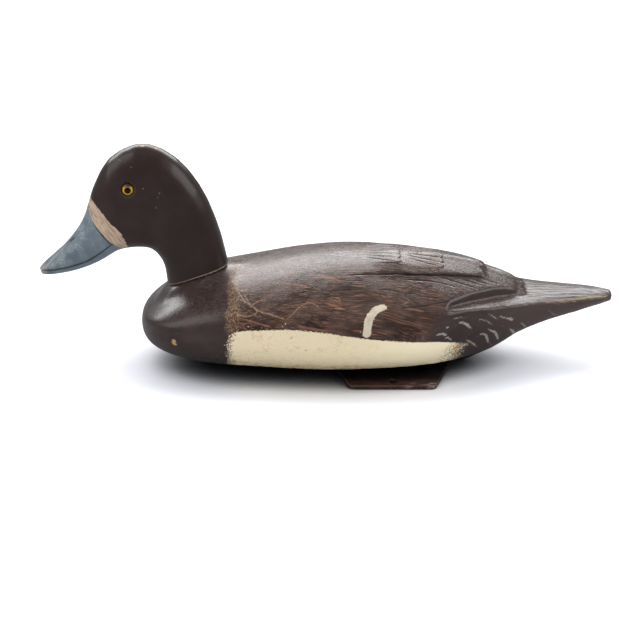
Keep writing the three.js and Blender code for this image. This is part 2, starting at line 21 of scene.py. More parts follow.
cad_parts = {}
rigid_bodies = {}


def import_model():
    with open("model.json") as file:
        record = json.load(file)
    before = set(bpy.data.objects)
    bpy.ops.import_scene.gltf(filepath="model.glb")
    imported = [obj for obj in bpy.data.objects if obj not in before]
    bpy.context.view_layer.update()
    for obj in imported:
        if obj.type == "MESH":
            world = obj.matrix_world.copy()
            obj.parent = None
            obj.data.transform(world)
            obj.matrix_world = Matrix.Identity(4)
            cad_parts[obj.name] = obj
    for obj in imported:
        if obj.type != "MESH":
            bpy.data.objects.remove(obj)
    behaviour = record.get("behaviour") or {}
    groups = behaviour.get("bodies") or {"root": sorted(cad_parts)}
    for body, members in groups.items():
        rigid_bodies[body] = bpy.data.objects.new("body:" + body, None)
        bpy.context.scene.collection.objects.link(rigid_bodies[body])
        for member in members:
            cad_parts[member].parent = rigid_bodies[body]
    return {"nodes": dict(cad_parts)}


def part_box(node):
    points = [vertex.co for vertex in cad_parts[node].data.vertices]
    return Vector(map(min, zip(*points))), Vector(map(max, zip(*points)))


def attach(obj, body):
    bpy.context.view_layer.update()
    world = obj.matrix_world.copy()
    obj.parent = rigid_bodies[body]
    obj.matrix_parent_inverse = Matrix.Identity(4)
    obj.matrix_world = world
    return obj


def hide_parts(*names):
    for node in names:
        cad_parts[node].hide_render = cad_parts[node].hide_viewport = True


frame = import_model()

MM = 0.001
UNDIVIDED = 9.0  # A wanted face width that no face exceeds
LOG = logging.getLogger("decoy")

Point = Sequence[float]
Path = Sequence[Point]


class Side(Enum):
    """A side of the duck, as the sign of its Y."""

    LEFT = -1
    RIGHT = 1


def srgb(code: str) -> tuple[float, float, float, float]:
    """Turns a colour as seen into light.

    Args:
        code: Red, green and blue as two digits each, such as 5A4640.

    Returns:
        Linear red, green, blue and alpha.
    """
    channels = [int(code[i:i + 2], 16) / 255 for i in (0, 2, 4)]
    linear = [c / 12.92 if c <= 0.04045 else ((c + 0.055) / 1.055) ** 2.4 for c in channels]
    return (linear[0], linear[1], linear[2], 1.0)


# Working on meshes


def solo(obj: bpy.types.Object) -> None:
    """Makes an object the only one selected, and the active one."""
    bpy.ops.object.select_all(action="DESELECT")
    obj.select_set(True)
    bpy.context.view_layer.objects.active = obj


@contextmanager
def edit(obj: bpy.types.Object, select: str = "VERT") -> Iterator[bmesh.types.BMesh]:
    """Opens an object's mesh in edit mode.

    Args:
        obj: The object to edit.
        select: VERT, EDGE or FACE, the kind of element that is selected.

    Returns:
        The edit mesh, whose selection is sent to the operators by calling flush on the object.
    """
    solo(obj)
    bpy.ops.object.mode_set(mode="EDIT")
    bpy.ops.mesh.select_mode(type=select)
    yield bmesh.from_edit_mesh(obj.data)
    bpy.ops.object.mode_set(mode="OBJECT")


def apply_modifier(obj: bpy.types.Object, kind: str, **settings: Any) -> None:
    """Adds a modifier and applies it.

    Args:
        obj: The object to change.
        kind: The modifier's type.
        settings: The modifier's settings, by name.
    """
    modifier = obj.modifiers.new(kind.lower(), kind)
    for name, value in settings.items():
        setattr(modifier, name, value)
    solo(obj)
    bpy.ops.object.modifier_apply(modifier=modifier.name)


def points_of(obj: bpy.types.Object) -> np.ndarray:
    """The vertices of an object, in millimetres, one row each."""
    flat = np.zeros(len(obj.data.vertices) * 3)
    obj.data.vertices.foreach_get("co", flat)
    return flat.reshape(-1, 3) / MM


def normals_of(obj: bpy.types.Object) -> np.ndarray:
    """The vertex normals of an object, one row each."""
    flat = np.zeros(len(obj.data.vertices) * 3)
    obj.data.vertex_normals.foreach_get("vector", flat)
    return flat.reshape(-1, 3)


def set_points(obj: bpy.types.Object, points: np.ndarray) -> None:
    """Moves the vertices of an object to rows of millimetres."""
    obj.data.vertices.foreach_set("co", (points * MM).ravel())
    obj.data.update()


def keep_values(obj: bpy.types.Object, name: str, values: np.ndarray) -> None:
    """Stores one number for each vertex, for a material to read by name."""
    attribute = obj.data.attributes.new(name, "FLOAT", "POINT")
    attribute.data.foreach_set("value", values.astype(np.float32))


def triangles_in(obj: bpy.types.Object) -> int:
    """How many triangles an object's mesh has."""
    return sum(len(polygon.vertices) - 2 for polygon in obj.data.polygons)


def copy_of(node: str, name: str) -> bpy.types.Object:
    """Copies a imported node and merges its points.

    Args:
        node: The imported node.
        name: The name of the copy.

    Returns:
        The copy, with no material and not yet on any body.
    """
    made = bpy.data.objects.new(name, frame["nodes"][node].data.copy())
    bpy.context.scene.collection.objects.link(made)
    made.data.materials.clear()
    with edit(made):
        bpy.ops.mesh.select_all(action="SELECT")
        bpy.ops.mesh.remove_doubles(threshold=0.002 * MM)
        bpy.ops.mesh.normals_make_consistent(inside=False)
        bpy.ops.mesh.customdata_custom_splitnormals_clear()
    return made


def creases_of(obj: bpy.types.Object, least_angle: float, spacing: float,
               kept: Callable[[Vector], bool] = lambda place: True) -> kdtree.KDTree:
    """Points along the sharp edges of an object.

    Args:
        obj: The object to read.
        least_angle: The smallest angle between two faces that counts as sharp, in degrees.
        spacing: The distance between points, in millimetres.
        kept: Whether an edge that starts at a place, in millimetres, counts.

    Returns:
        A tree of the points, in metres.
    """
    mesh = bmesh.new()
    mesh.from_mesh(obj.data)
    found = []
    for edge in mesh.edges:
        if len(edge.link_faces) == 2 and edge.calc_face_angle() > math.radians(least_angle):
            start, end = edge.verts[0].co, edge.verts[1].co
            if not kept(start / MM):
                continue
            count = max(1, round((end - start).length / (spacing * MM)))
            found.extend(start.lerp(end, i / count) for i in range(count + 1))
    mesh.free()
    tree = kdtree.KDTree(len(found))
    for i, point in enumerate(found):
        tree.insert(point, i)
    tree.balance()
    return tree


def distances_to_creases(obj: bpy.types.Object, tree: kdtree.KDTree) -> np.ndarray:
    """How far each vertex of an object is from the nearest crease, in millimetres."""
    return np.array([tree.find(vertex.co)[2] for vertex in obj.data.vertices]) / MM


def smoothstep(values: np.ndarray, low: float, high: float) -> np.ndarray:
    """Values eased from 0 at low to 1 at high."""
    t = np.clip((values - low) / (high - low), 0, 1)
    return t * t * (3 - 2 * t)


def soften(obj: bpy.types.Object, weights: np.ndarray, rounds: int) -> None:
    """Evens out an object's surface, as sanding does.

    Args:
        obj: The object to sand.
        weights: How strongly each vertex is sanded, from 0 to 1.
        rounds: How often the whole surface is gone over.
    """
    group = obj.vertex_groups.new(name="sanded")
    levels = 12
    steps = np.round(weights * levels).astype(int)
    for level in range(1, levels + 1):
        members = np.nonzero(steps == level)[0].tolist()
        if members:
            group.add(members, level / levels, "REPLACE")
    apply_modifier(obj, "SMOOTH", factor=0.5, iterations=rounds, vertex_group="sanded")
    obj.vertex_groups.clear()


def refine(obj: bpy.types.Object, wanted: Callable[[np.ndarray], np.ndarray], passes: int) -> None:
    """Divides the faces of an object that are larger than is wanted where they lie.

    Args:
        obj: The object to refine.
        wanted: Gives the wanted width of a face, in millimetres, from rows of face middles.
        passes: How many times the faces may be halved.
    """
    for _ in range(passes):
        count = len(obj.data.polygons)
        middles = np.zeros(count * 3)
        areas = np.zeros(count)
        obj.data.polygons.foreach_get("center", middles)
        obj.data.polygons.foreach_get("area", areas)
        large = np.sqrt(areas) / MM > 1.25 * wanted(middles.reshape(-1, 3) / MM)
        with edit(obj, "FACE") as mesh:
            bpy.ops.mesh.select_all(action="DESELECT")
            for face, is_large in zip(mesh.faces, large.tolist()):
                face.select_set(is_large)
            bmesh.update_edit_mesh(obj.data)
            bpy.ops.mesh.subdivide(number_cuts=1)


@dataclass(frozen=True)
class Sanding:
    """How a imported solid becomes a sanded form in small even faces. Lengths are in millimetres."""

    voxel: float
    crease_angle: float
    crease_spacing: float
    rounds: int
    at_crease: float
    crease_reach: tuple[float, float]

    def copy_of_node(self, node: str, name: str,
                     kept: Callable[[Vector], bool] = lambda place: True) -> bpy.types.Object:
        """Makes the sanded form of a node.

        Args:
            node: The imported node.
            name: The name of the piece.
            kept: Whether an edge that starts at a place, in millimetres, may stay sharp.

        Returns:
            The piece.
        """
        piece = copy_of(node, name)
        creases = creases_of(piece, self.crease_angle, self.crease_spacing, kept)
        apply_modifier(piece, "REMESH", mode="VOXEL", voxel_size=self.voxel * MM)
        away = smoothstep(distances_to_creases(piece, creases), *self.crease_reach)
        soften(piece, self.at_crease + (1 - self.at_crease) * away, self.rounds)
        return piece


# Lines and strokes, as curves through a few points


def curve_through(knots: Path, spacing: float = 1.0) -> np.ndarray:
    """A smooth curve through a few points, as closely spaced points.

    Args:
        knots: The points, of two or three millimetre values each.
        spacing: The distance between the points returned, in millimetres.

    Returns:
        The points, one row each.
    """
    rows = np.array(knots, float)
    if len(rows) < 3:
        count = max(1, int(np.linalg.norm(rows[-1] - rows[0]) / spacing))
        return np.linspace(rows[0], rows[-1], count + 1)
    padded = np.vstack([2 * rows[0] - rows[1], rows, 2 * rows[-1] - rows[-2]])
    made = []
    for i in range(len(rows) - 1):
        a, b, c, d = padded[i:i + 4]
        count = max(1, int(np.linalg.norm(c - b) / spacing))
        for t in np.arange(count) / count:
            bend = 2 * a - 5 * b + 4 * c - d + t * (3 * (b - c) + d - a)
            made.append(b + 0.5 * t * (c - a + t * bend))
    return np.array([*made, rows[-1]])


def distance_to(points: np.ndarray, path: np.ndarray, reach: float) -> tuple[np.ndarray, np.ndarray]:
    """How far points are from a path, and how far along it their nearest place is.

    Args:
        points: Rows of coordinates, in the same order as the path's.
        path: The path's points, one row each.
        reach: The distance past which a point isn't measured.

    Returns:
        The distances, at most reach, and the places along the path, from 0 to 1.
    """
    best = np.full(len(points), reach)
    along = np.zeros(len(points))
    near = np.all((points > path.min(0) - reach) & (points < path.max(0) + reach), axis=1)
    chosen = np.nonzero(near)[0]
    inside = points[chosen]
    spans = len(path) - 1
    for i in range(spans):
        start, run = path[i], path[i + 1] - path[i]
        t = np.clip((inside - start) @ run / max(float(run @ run), 1e-9), 0, 1)
        gap = np.linalg.norm(inside - start - t[:, None] * run, axis=1)
        closer = gap < best[chosen]
        best[chosen[closer]] = gap[closer]
        along[chosen[closer]] = (i + t[closer]) / spans
    return best, along


@dataclass(frozen=True)
class Stroke:
    """One stroke of a brush or one cut of a knife, along a curve through a few points."""

    knots: Path
    width: float
    strength: float = 1.0
    taper: float = 0.55

    def cover(self, points: np.ndarray, soft: float) -> np.ndarray:
        """How much of the stroke lies on each point.

        Args:
            points: Rows of coordinates, in the order of the knots.
            soft: The width over which the stroke's edge fades, in millimetres.

        Returns:
            A value from 0 to the stroke's strength for each point.
        """
        gap, along = distance_to(points, curve_through(self.knots), self.width + soft)
        half = self.width / 2 * (1 - self.taper * np.abs(2 * along - 1) ** 2.5)
        return self.strength * np.clip(0.5 + (half - gap) / soft, 0, 1)


def lay(strokes: Sequence[Stroke], points: np.ndarray, soft: float = 0.5) -> np.ndarray:
    """How much of any of the strokes lies on each point.

    Args:
        strokes: The strokes.
        points: Rows of coordinates, in the order of the knots.
        soft: The width over which a stroke's edge fades, in millimetres.

    Returns:
        The most that one of them covers each point.
    """
    covered = np.zeros(len(points))
    for stroke in strokes:
        covered = np.maximum(covered, stroke.cover(points, soft))
    return covered


def close_to(strokes: Sequence[Stroke], points: np.ndarray, margin: float) -> np.ndarray:
    """Whether each point lies on one of the strokes once they are made wider by a margin."""
    return lay([Stroke(s.knots, s.width + margin, 1.0, 0.0) for s in strokes], points, 0.1) > 0.5


def folded(points: np.ndarray) -> np.ndarray:
    """The x and the distance from the duck's middle of rows of x, y and z."""
    return np.column_stack([points[:, 0], np.abs(points[:, 1])])


def bare_spots(chips: Sequence[tuple[Point, float]], points: np.ndarray) -> np.ndarray:
    """Where paint has chipped off.

    Args:
        chips: The middle and the radius of each chip.
        points: Rows of x, y and z.

    Returns:
        How bare the wood is at each point, from 0 to 1.
    """
    bare = np.zeros(len(points))
    for middle, radius in chips:
        bare = np.maximum(bare, 1.1 - 0.6 * np.linalg.norm(points - middle, axis=1) / radius)
    return np.clip(bare, 0, 1)


def mirrored(strokes: Sequence[Stroke]) -> list[Stroke]:
    """Strokes of x, y and z points, on the other side of the duck."""
    return [Stroke([(x, -y, z) for x, y, z in s.knots], s.width, s.strength, s.taper) for s in strokes]


# Shader sheets, with sums written as sums


class Value:
    """A number, colour or vector that a shader node puts out, with ordinary arithmetic."""

    def __init__(self, sheet: "Sheet", socket: bpy.types.NodeSocket) -> None:
        """Wraps a socket of a sheet."""
        self.sheet = sheet
        self.socket = socket

    def __add__(self, other: Any) -> "Value":
        """The sum with a number or value."""
        return self.sheet.math("ADD", self, other)

    def __sub__(self, other: Any) -> "Value":
        """The difference from a number or value."""
        return self.sheet.math("SUBTRACT", self, other)

    def __rsub__(self, other: Any) -> "Value":
        """A number less this value."""
        return self.sheet.math("SUBTRACT", other, self)

    def __mul__(self, other: Any) -> "Value":
        """The product with a number or value."""
        return self.sheet.math("MULTIPLY", self, other)

    __radd__ = __add__
    __rmul__ = __mul__

    def ease(self, low: float, high: float) -> "Value":
        """Eases from 0 at low to 1 at high, and high may be the lower of the two."""
        return self.sheet.ramp(self, min(low, high), max(low, high), falling=high < low)

    def swing(self, size: float) -> "Value":
        """Scales how far a value is above or below 0.5."""
        return (self - 0.5) * size


class Sheet:
    """A node tree that nodes are added to."""

    def __init__(self, tree: bpy.types.NodeTree) -> None:
        """Starts work on a tree."""
        self.tree = tree

    def node(self, kind: str, **settings: Any) -> bpy.types.Node:
        """Adds a node with its settings.

        Args:
            kind: The node's type.
            settings: Its settings, by name.

        Returns:
            The node.
        """
        made = self.tree.nodes.new(kind)
        for name, value in settings.items():
            setattr(made, name, value)
        return made

    def feed(self, socket: bpy.types.NodeSocket, value: Any) -> None:
        """Links a value to a socket, or sets the socket to a number, a vector or a colour code.

        Args:
            socket: The socket that takes the value.
            value: The value, or a constant, which is a colour when it is a text such as 5A4640.
        """
        if isinstance(value, Value):
            self.tree.links.new(value.socket, socket)
        else:
            socket.default_value = srgb(value) if isinstance(value, str) else value

    def math(self, operation: str, *terms: Any) -> Value:
        """One step of arithmetic.

        Args:
            operation: What the math node does.
            terms: The numbers or values that it works on.

        Returns:
            The result.
        """
        node = self.node("ShaderNodeMath", operation=operation)
        for socket, term in zip(node.inputs, terms):
            self.feed(socket, term)
        return Value(self, node.outputs[0])

    def ramp(self, value: Value, low: Any, high: Any, falling: bool = False) -> Value:
        """Eases a value between two limits.

        Args:
            value: The value to ease.
            low: The lower limit, where the result is 0.
            high: The upper limit, where the result is 1.
            falling: Whether the result runs from 1 to 0 instead.

        Returns:
            The eased value.
        """
        node = self.node("ShaderNodeMapRange", interpolation_type="SMOOTHSTEP")
        limits = {"From Min": low, "From Max": high, "To Min": float(falling), "To Max": float(not falling)}
        for name, term in {"Value": value, **limits}.items():
            self.feed(node.inputs[name], term)
        return Value(self, node.outputs["Result"])

    def mix(self, amount: Any, low: Any, high: Any) -> Value:
        """Two colours mixed.

        Args:
            amount: How much of the second colour shows, from 0 to 1.
            low: The first colour, as a value or a code.
            high: The second colour, as a value or a code.

        Returns:
            The mixed colour.
        """
        node = self.node("ShaderNodeMix", data_type="RGBA")
        for index, term in ((0, amount), (6, low), (7, high)):
            self.feed(node.inputs[index], term)
        return Value(self, node.outputs[2])

    def coats(self, colour: Any, *layers: tuple[Any, Any]) -> Value:
        """A colour with layers of paint laid over it.

        Args:
            colour: The colour below, as a value or a code.
            layers: How much of each layer covers, from 0 to 1, and the layer's colour.

        Returns:
            The colour on top.
        """
        for amount, paint in layers:
            colour = self.mix(amount, colour, paint)
        return colour

    def stored(self, name: str) -> Value:
        """A number stored on the vertices."""
        node = self.node("ShaderNodeAttribute", attribute_name=name)
        return Value(self, node.outputs["Fac"])

    def place(self) -> Value:
        """The place on the object, in millimetres.

        Returns:
            The vector.
        """
        coordinates = self.node("ShaderNodeTexCoord")
        node = self.node("ShaderNodeVectorMath", operation="SCALE")
        self.tree.links.new(coordinates.outputs["Object"], node.inputs[0])
        node.inputs["Scale"].default_value = 1 / MM
        return Value(self, node.outputs[0])

    def parts(self, vector: Value) -> tuple[Value, Value, Value]:
        """The x, y and z of a vector.

        Args:
            vector: The vector.

        Returns:
            Its three parts.
        """
        node = self.node("ShaderNodeSeparateXYZ")
        self.feed(node.inputs[0], vector)
        return tuple(Value(self, output) for output in node.outputs)

    def vector(self, x: Any, y: Any, z: Any) -> Value:
        """A vector from its x, y and z.

        Args:
            x: Its x.
            y: Its y.
            z: Its z.

        Returns:
            The vector.
        """
        node = self.node("ShaderNodeCombineXYZ")
        for socket, term in zip(node.inputs, (x, y, z)):
            self.feed(socket, term)
        return Value(self, node.outputs[0])

    def scale_for(self, size: Any) -> Any:
        """The texture scale that gives features of a size in millimetres."""
        return self.math("DIVIDE", 1.0, size) if isinstance(size, Value) else 1 / size

    def noise(self, where: Value, size: Any, detail: float = 2.0, rough: float = 0.5,
              warp: float = 0.0) -> Value:
        """Soft random blotches.

        Args:
            where: The place, in millimetres.
            size: The width of a blotch, in millimetres.
            detail: How many finer layers lie on it.
            rough: How strong the finer layers are.
            warp: How far the blotches are twisted.

        Returns:
            A value about 0.5.
        """
        node = self.node("ShaderNodeTexNoise")
        self.feed(node.inputs["Vector"], where)
        self.feed(node.inputs["Scale"], self.scale_for(size))
        for name, value in (("Detail", detail), ("Roughness", rough), ("Distortion", warp)):
            node.inputs[name].default_value = value
        return Value(self, node.outputs[0])

    def cells(self, where: Value, size: Any) -> bpy.types.Node:
        """Splits space into uneven cells.

        Args:
            where: The place, in millimetres.
            size: The usual width of a cell, in millimetres.

        Returns:
            The node, with the distance to the cell's middle, its place and its random colour.
        """
        node = self.node("ShaderNodeTexVoronoi")
        self.feed(node.inputs["Vector"], where)
        self.feed(node.inputs["Scale"], self.scale_for(size))
        return node

    def chances(self, cells: bpy.types.Node) -> tuple[Value, Value]:
        """Two random numbers from 0 to 1 for each cell of a node made by cells.

        Args:
            cells: The node.

        Returns:
            The two numbers.
        """
        node = self.node("ShaderNodeSeparateColor")
        self.tree.links.new(cells.outputs["Color"], node.inputs[0])
        return Value(self, node.outputs[0]), Value(self, node.outputs[1])

    def stretched(self, where: Value, sizes: Point, detail: float = 2.0, warp: Any = 0.0) -> Value:
        """Random streaks.

        Args:
            where: The place, in millimetres.
            sizes: The width of a streak along x, y and z, in millimetres.
            detail: How many finer layers lie on it.
            warp: A value that pushes the streaks aside.

        Returns:
            A value about 0.5.
        """
        x, y, z = self.parts(where)
        scaled = self.vector(x * (1 / sizes[0]) + warp, y * (1 / sizes[1]) + warp, z * (1 / sizes[2]) + warp)
        return self.noise(scaled, 1.0, detail)

    def group(self, tree: bpy.types.NodeTree, **inputs: Any) -> dict[str, Value]:
        """Places a shared node group.

        Args:
            tree: The group.
            inputs: What is fed to its inputs, by name.

        Returns:
            Its outputs by name.
        """
        node = self.node("ShaderNodeGroup", node_tree=tree)
        for name, value in inputs.items():
            self.feed(node.inputs[name], value)
        return {output.name: Value(self, output) for output in node.outputs}


def shared_group(name: str, inputs: dict[str, Any], outputs: Sequence[str]) -> tuple[Sheet, dict[str, Value]]:
    """Starts a shared node group.

    Args:
        name: The group's name.
        inputs: Each input's name and its usual value, or None for a vector.
        outputs: The names of the numbers that it puts out.

    Returns:
        The sheet, and its inputs by name.
    """
    tree = bpy.data.node_groups.new(name, "ShaderNodeTree")
    for label, usual in inputs.items():
        kind = "NodeSocketVector" if usual is None else "NodeSocketFloat"
        socket = tree.interface.new_socket(label, in_out="INPUT", socket_type=kind)
        if usual is not None:
            socket.default_value = usual
    for label in outputs:
        tree.interface.new_socket(label, in_out="OUTPUT", socket_type="NodeSocketFloat")
    sheet = Sheet(tree)
    entry = sheet.node("NodeGroupInput")
    return sheet, {label: Value(sheet, entry.outputs[label]) for label in inputs}


def close_group(sheet: Sheet, **outputs: Value) -> bpy.types.NodeTree:
    """Ends a shared node group by feeding its outputs.

    Args:
        sheet: The group's sheet.
        outputs: What is fed to its outputs, by name.

    Returns:
        The finished group.
    """
    node = sheet.node("NodeGroupOutput")
    for name, value in outputs.items():
        sheet.feed(node.inputs[name], value)
    return sheet.tree


class Effects:
    """The shared effects of an old painted carving, each a node group that is built once."""

    def __init__(self) -> None:
        """Builds the groups."""
        self.brushed = self.brushed_paint()
        self.ragged = self.ragged_edge()
        self.spatter = self.spattered_dots()
        self.dabs = self.brush_dabs()
        self.scribble = self.scribbled_lines()

    @staticmethod
    def brushed_paint() -> bpy.types.NodeTree:
        """Old brushed paint: slow blotches, fine bristle marks along x, and dust."""
        sheet, given = shared_group("brushed_paint", {"Place": None}, ["Blotch", "Bristle", "Dust"])
        place = given["Place"]
        blotch = sheet.noise(place, 26, detail=4, rough=0.55, warp=0.4)
        sway = sheet.noise(place, 30, detail=1) * 2.5
        bristle = sheet.stretched(place, (14, 0.7, 0.7), detail=2, warp=sway)
        dust = sheet.noise(place, 1.7, detail=3, rough=0.7)
        return close_group(sheet, Blotch=blotch, Bristle=bristle, Dust=dust)

    @staticmethod
    def ragged_edge() -> bpy.types.NodeTree:
        """Turns a distance into a mask with a ragged edge, as a brush or a chip leaves."""
        inputs = {"Place": None, "Distance": 0.0, "Raggedness": 1.0, "Grain": 1.5, "Softness": 0.25}
        sheet, given = shared_group("ragged_edge", inputs, ["Mask"])
        wander = sheet.noise(given["Place"], given["Grain"], detail=3) - 0.5
        moved = given["Distance"] + wander * given["Raggedness"]
        return close_group(sheet, Mask=sheet.ramp(moved, given["Softness"] * -1, given["Softness"]))

    @staticmethod
    def spattered_dots() -> bpy.types.NodeTree:
        """Small round dots of paint, more of them where Density is high."""
        inputs = {"Place": None, "Density": 0.5, "Spacing": 1.2, "Radius": 0.4}
        sheet, given = shared_group("spattered_dots", inputs, ["Mask"])
        cells = sheet.cells(given["Place"], given["Spacing"])
        chance, tone = sheet.chances(cells)
        chosen = sheet.math("LESS_THAN", chance, given["Density"])
        radius = given["Radius"] * (tone * 0.8 + 0.4)
        dot = sheet.math("LESS_THAN", Value(sheet, cells.outputs["Distance"]), radius)
        return close_group(sheet, Mask=chosen * dot)

    @staticmethod
    def brush_dabs() -> bpy.types.NodeTree:
        """Long dabs of a loaded brush along x, each with a tone of its own."""
        inputs = {"Place": None, "Length": 14.0, "Width": 2.0, "Density": 0.4, "Shift": 0.0}
        sheet, given = shared_group("brush_dabs", inputs, ["Mask", "Tone"])
        x, y, z = sheet.parts(given["Place"])
        along = sheet.math("DIVIDE", x, given["Length"]) + given["Shift"]
        across = [sheet.math("DIVIDE", part, given["Width"]) for part in (y, z)]
        cells = sheet.cells(sheet.vector(along, *across), 1)
        chance, tone = sheet.chances(cells)
        chosen = sheet.math("LESS_THAN", chance, given["Density"])
        mask = Value(sheet, cells.outputs["Distance"]).ease(0.56, 0.3) * chosen
        return close_group(sheet, Mask=mask, Tone=tone)

    @staticmethod
    def scribbled_lines() -> bpy.types.NodeTree:
        """Thin wriggling lines, as a pen or a scratch leaves."""
        inputs = {"Place": None, "Size": 2.4, "Width": 0.09}
        sheet, given = shared_group("scribbled_lines", inputs, ["Mask"])
        off = sheet.math("ABSOLUTE", sheet.noise(given["Place"], given["Size"], detail=0.6) - 0.5)
        return close_group(sheet, Mask=sheet.ramp(off, given["Width"] * 0.45, given["Width"], falling=True))


# Finishes


def principled(name: str) -> tuple[bpy.types.Material, Sheet, bpy.types.Node]:
    """A new material, its sheet and its shader.

    Args:
        name: The material's name.

    Returns:
        The three of them.
    """
    material = bpy.data.materials.new(name)
    material.use_nodes = True
    sheet = Sheet(material.node_tree)
    return material, sheet, material.node_tree.nodes["Principled BSDF"]


def set_relief(sheet: Sheet, shader: bpy.types.Node, height: Value, depth: float) -> None:
    """Adds fine relief to a shader, of a given depth in millimetres.

    Args:
        sheet: The material's sheet.
        shader: Its shader.
        height: The relief, from about 0 to 1.
        depth: How deep the relief is.
    """
    bump = sheet.node("ShaderNodeBump")
    sheet.feed(bump.inputs["Height"], height)
    bump.inputs["Distance"].default_value = depth * MM
    sheet.tree.links.new(bump.outputs[0], shader.inputs["Normal"])


@dataclass(frozen=True)
class Ground:
    """What the layers of paint on one piece share: a sheet, the places on it and the old brushwork."""

    sheet: Sheet
    effects: Effects
    place: Value
    x: Value
    y: Value
    z: Value
    blotch: Value
    bristle: Value
    dust: Value

    def specks(self, density: Any, spacing: float, radius: float) -> Value:
        """Small round specks of paint.

        Args:
            density: How many of the places have a speck, from 0 to 1.
            spacing: The distance between places, in millimetres.
            radius: The usual radius, as a part of the spacing.

        Returns:
            A mask.
        """
        dots = self.sheet.group(self.effects.spatter, Place=self.place, Density=density, Spacing=spacing,
                                Radius=radius)
        return dots["Mask"]

    def ragged(self, name: str, raggedness: float, grain: float, softness: float) -> Value:
        """Where a stored distance is above zero, with a ragged edge.

        Args:
            name: The distance's name on the vertices.
            raggedness: How far the edge wanders, in millimetres.
            grain: The width of its notches, in millimetres.
            softness: The distance over which it fades, in millimetres.

        Returns:
            A mask.
        """
        mask = self.sheet.group(self.effects.ragged, Place=self.place, Distance=self.sheet.stored(name),
                                Raggedness=raggedness, Grain=grain, Softness=softness)
        return mask["Mask"]

    def scribbled(self, where: Value, size: float, width: float) -> Value:
        """Thin lines scribbled all over."""
        return self.sheet.group(self.effects.scribble, Place=where, Size=size, Width=width)["Mask"]


def ground_for(sheet: Sheet, effects: Effects) -> Ground:
    """Prepares what the layers of paint on one piece share.

    Args:
        sheet: The material's sheet.
        effects: The shared effects.

    Returns:
        What they share.
    """
    place = sheet.place()
    skin = sheet.group(effects.brushed, Place=place)
    return Ground(sheet, effects, place, *sheet.parts(place), skin["Blotch"], skin["Bristle"], skin["Dust"])


